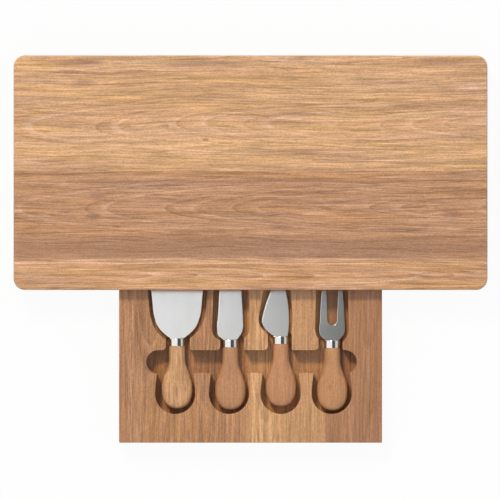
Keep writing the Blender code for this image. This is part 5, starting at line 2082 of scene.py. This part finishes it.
TOOL_FORMS: tuple[ToolForm, ...] = (
    ToolForm(
        body=Body.PLANE_KNIFE, axis_x=-0.0620, handle_end=0.0286, blade_length=0.0620,
        blade_width=0.0488, side_shares=(PLANE_SIDE_SHARES, PLANE_SIDE_SHARES), tip_width=0.0488,
        tip_radius=0.0028, tip_ground=True, bulb_shift=-0.0016, neck_shift=0.0007,
        blade_shift=0.0005, clearance=0.0031, tip_share=1.00, swells=(0.0021, 0.0019),
        pocket_swells=(0.0024, 0.0006),
        handle_wood=handle_wood(
            Body.PLANE_KNIFE, (tone(206, 158, 110), tone(222, 176, 128), tone(164, 118, 78)),
            -0.062, 71.0, fibre_strength=0.38, line_strength=0.65,
            dark_stains=(Stain(-0.120, -0.0625, 0.0090, 0.0022, 0.55),
                         Stain(-0.126, -0.0690, 0.0060, 0.0016, 0.45),
                         Stain(-0.118, -0.0550, 0.0050, 0.0012, 0.45)),
            # The pale patch on the neck is painted light: it lifts the neck out of the shade that the
            # pocket casts on it.
            pale_stains=(Stain(-0.0890, -0.0620, 0.0130, 0.0070, 0.80),))),
    ToolForm(
        body=Body.SPREADER, axis_x=-0.0170, handle_end=0.0275, blade_length=0.0680,
        blade_width=0.0221, side_shares=(SPREADER_LEFT_SHARES, SPREADER_RIGHT_SHARES),
        tip_width=0.0164, tip_radius=0.0060, bulb_shift=-0.0012, neck_shift=0.0016,
        blade_shift=0.0008, clearance=0.0049, tip_share=0.80, swells=(0.0006, 0.0008),
        shoulder_share=0.35,
        handle_wood=handle_wood(
            Body.SPREADER, (tone(188, 137, 96), tone(202, 152, 112), tone(164, 115, 80)),
            -0.017, 77.0)),
    ToolForm(
        body=Body.POINTED_KNIFE, axis_x=0.0256, handle_end=0.0303, blade_length=0.0650,
        blade_width=0.0231, side_shares=(POINTED_LEFT_SHARES, POINTED_RIGHT_SHARES),
        tip_width=0.0010, tip_room=0.0010, tip_radius=0.0002, bulb_shift=-0.0002,
        neck_shift=-0.0009, blade_shift=0.0, clearance=0.0028, tip_share=0.46,
        swells=(0.0022, 0.0006),
        handle_wood=handle_wood(
            Body.POINTED_KNIFE, (tone(194, 140, 98), tone(206, 153, 111), tone(168, 118, 82)),
            0.030, 83.0)),
    ToolForm(
        body=Body.FORK, axis_x=0.0690, handle_end=0.0269, blade_length=0.0660,
        blade_width=0.0214, side_shares=(FORK_SIDE_SHARES, FORK_SIDE_SHARES), tip_width=0.0142,
        tip_radius=0.0004, tip_room=0.0013, ground_share=0.3, slotted=True, bulb_shift=-0.0005,
        neck_shift=-0.0014, blade_shift=-0.0003, clearance=0.0036, tip_share=0.85,
        # The fork's darker blade tone is painted shade for the darker surroundings that its blade
        # reflects.
        swells=(0.0016, 0.0008), blade_tone_and_shade=(0.675, 0.677, 0.680),
        handle_wood=handle_wood(
            Body.FORK, (tone(190, 138, 94), tone(202, 151, 108), tone(164, 115, 78)),
            0.064, 89.0, dark_stains=(Stain(-0.116, 0.0680, 0.0040, 0.0030, 0.30),))),
)


@dataclass
class Studio:
    """White ground, one soft sun from behind, an even sky and a card that only reflections show."""

    frame_width: float = 0.42203
    centre_x: float = -0.00046
    centre_y: float = -0.00079
    camera_height: float = 1.5
    sun_height: float = 52.3
    sun_aside: float = 25.0
    sun_spread: float = 10.0
    sun_strength: float = 1.5
    sun_tint: Colour = (1.02, 0.81, 0.53)
    sky_strength: float = 0.62
    sky_tint: Colour = (0.91, 1.00, 1.19)
    white: Colour = (1.0, 1.0, 1.0)
    paper: Colour = (0.92, 0.92, 0.92)
    paper_roughness: float = 0.9
    paper_gloss: float = 0.1
    ground_size: float = 3.0
    ground_drop: float = 0.0002
    ground_glow: float = 0.94
    card_height: float = 1.0
    card_left: float = 0.024
    card_right: float = 6.0
    card_half_depth: float = 1.5
    card_levels: Shares = ((0.0, 0.09), (0.084, 0.09), (0.090, 0.74), (0.45, 0.46), (1.0, 0.30))
    card_tint: Colour = (0.92, 1.0, 0.97)

    def camera(self) -> None:
        """Look straight down, as the photograph does."""
        lens = bpy.data.cameras.new("camera")
        lens.type = "ORTHO"
        lens.ortho_scale = self.frame_width
        eye = bpy.data.objects.new("camera", lens)
        eye.location = (self.centre_x, self.centre_y, self.camera_height)
        bpy.context.scene.collection.objects.link(eye)
        bpy.context.scene.camera = eye

    def sun(self) -> None:
        """Light the board from behind and a little from the left."""
        lamp = bpy.data.lights.new("sun", "SUN")
        lamp.energy = self.sun_strength
        lamp.color = self.sun_tint
        lamp.angle = math.radians(self.sun_spread)
        item = bpy.data.objects.new("sun", lamp)
        item.rotation_euler = (math.radians(self.sun_height - 90), 0.0, math.radians(self.sun_aside))
        bpy.context.scene.collection.objects.link(item)

    def sky(self) -> None:
        """Fill the shadows evenly, and show white to the camera and to metal."""
        world = bpy.data.worlds.new("sky")
        bpy.context.scene.world = world
        graph = Graph(world)
        fill = graph.light("ShaderNodeBackground", self.sky_tint, self.sky_strength)
        graph.choose(graph.seen(), fill, graph.light("ShaderNodeBackground", self.white))

    def sheet(self, name: str, low: Sequence[float], high: Sequence[float], finish: Material) -> Item:
        """Lay a flat sheet that isn't part of the object.

        Args:
            name: Its name.
            low: Its front left corner.
            high: Its back right corner, at the same height.
            finish: Its material.

        Returns:
            The sheet.
        """
        corners = [low, (high[0], low[1], low[2]), high, (low[0], high[1], low[2])]
        mesh = bpy.data.meshes.new(name)
        mesh.from_pydata(corners, [], [(0, 1, 2, 3)])
        mesh.materials.append(finish)
        item = bpy.data.objects.new(name, mesh)
        bpy.context.scene.collection.objects.link(item)
        return item

    def ground(self) -> None:
        """Lay a white ground that keeps a faint shadow of the board."""
        graph = new_finish("ground")
        paper = graph.dress(Base_Color=self.paper, Roughness=self.paper_roughness,
                            Specular_IOR_Level=self.paper_gloss)
        share = graph.times(graph.seen(), self.ground_glow)
        graph.choose(share, graph.tree.nodes["Principled BSDF"],
                     graph.light("ShaderNodeEmission", self.white))
        half = self.ground_size / 2
        self.sheet("ground", (-half, -half, -self.ground_drop), (half, half, -self.ground_drop), paper)

    def card(self) -> None:
        """Hang the dark card that gives the metal its dark bands, unseen by the camera."""
        graph = new_finish("card")
        share = graph.math("DIVIDE", graph.axes(Grain.ALONG_X)[0], self.card_right)
        level = graph.blend(1.0, graph.curve(share, self.card_levels), self.card_tint, "MULTIPLY")
        graph.put_out(graph.light("ShaderNodeEmission", level))
        item = self.sheet("card", (self.card_left, -self.card_half_depth, self.card_height),
                          (self.card_right, self.card_half_depth, self.card_height), graph.owner)
        for rays in ("camera", "diffuse", "shadow", "transmission"):
            setattr(item, f"visible_{rays}", False)

    def build(self) -> None:
        """Set up camera, lights, ground and card."""
        bpy.context.scene.view_settings.view_transform = "Standard"
        self.camera()
        self.sun()
        self.sky()
        self.ground()
        self.card()


def write_sizes() -> None:
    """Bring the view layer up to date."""
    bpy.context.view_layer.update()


def main() -> None:
    """Build and dress the cheese board, and set up its studio."""
    logging.basicConfig(level=logging.INFO, format="%(message)s")
    Studio().build()
    bench = Bench()
    low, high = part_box("drawer_stave_middle")
    kit = ToolKit(TOOL_FORMS, drawer_front=low.y, drawer_top=high.z)
    for assembly in (ServingTop(), Base(), Feet(), Drawer(kit), kit):
        LOG.info("%s", type(assembly).__name__)
        assembly.build(bench)
    bench.sweep()
    write_sizes()


if __name__ == "__main__":
    main()
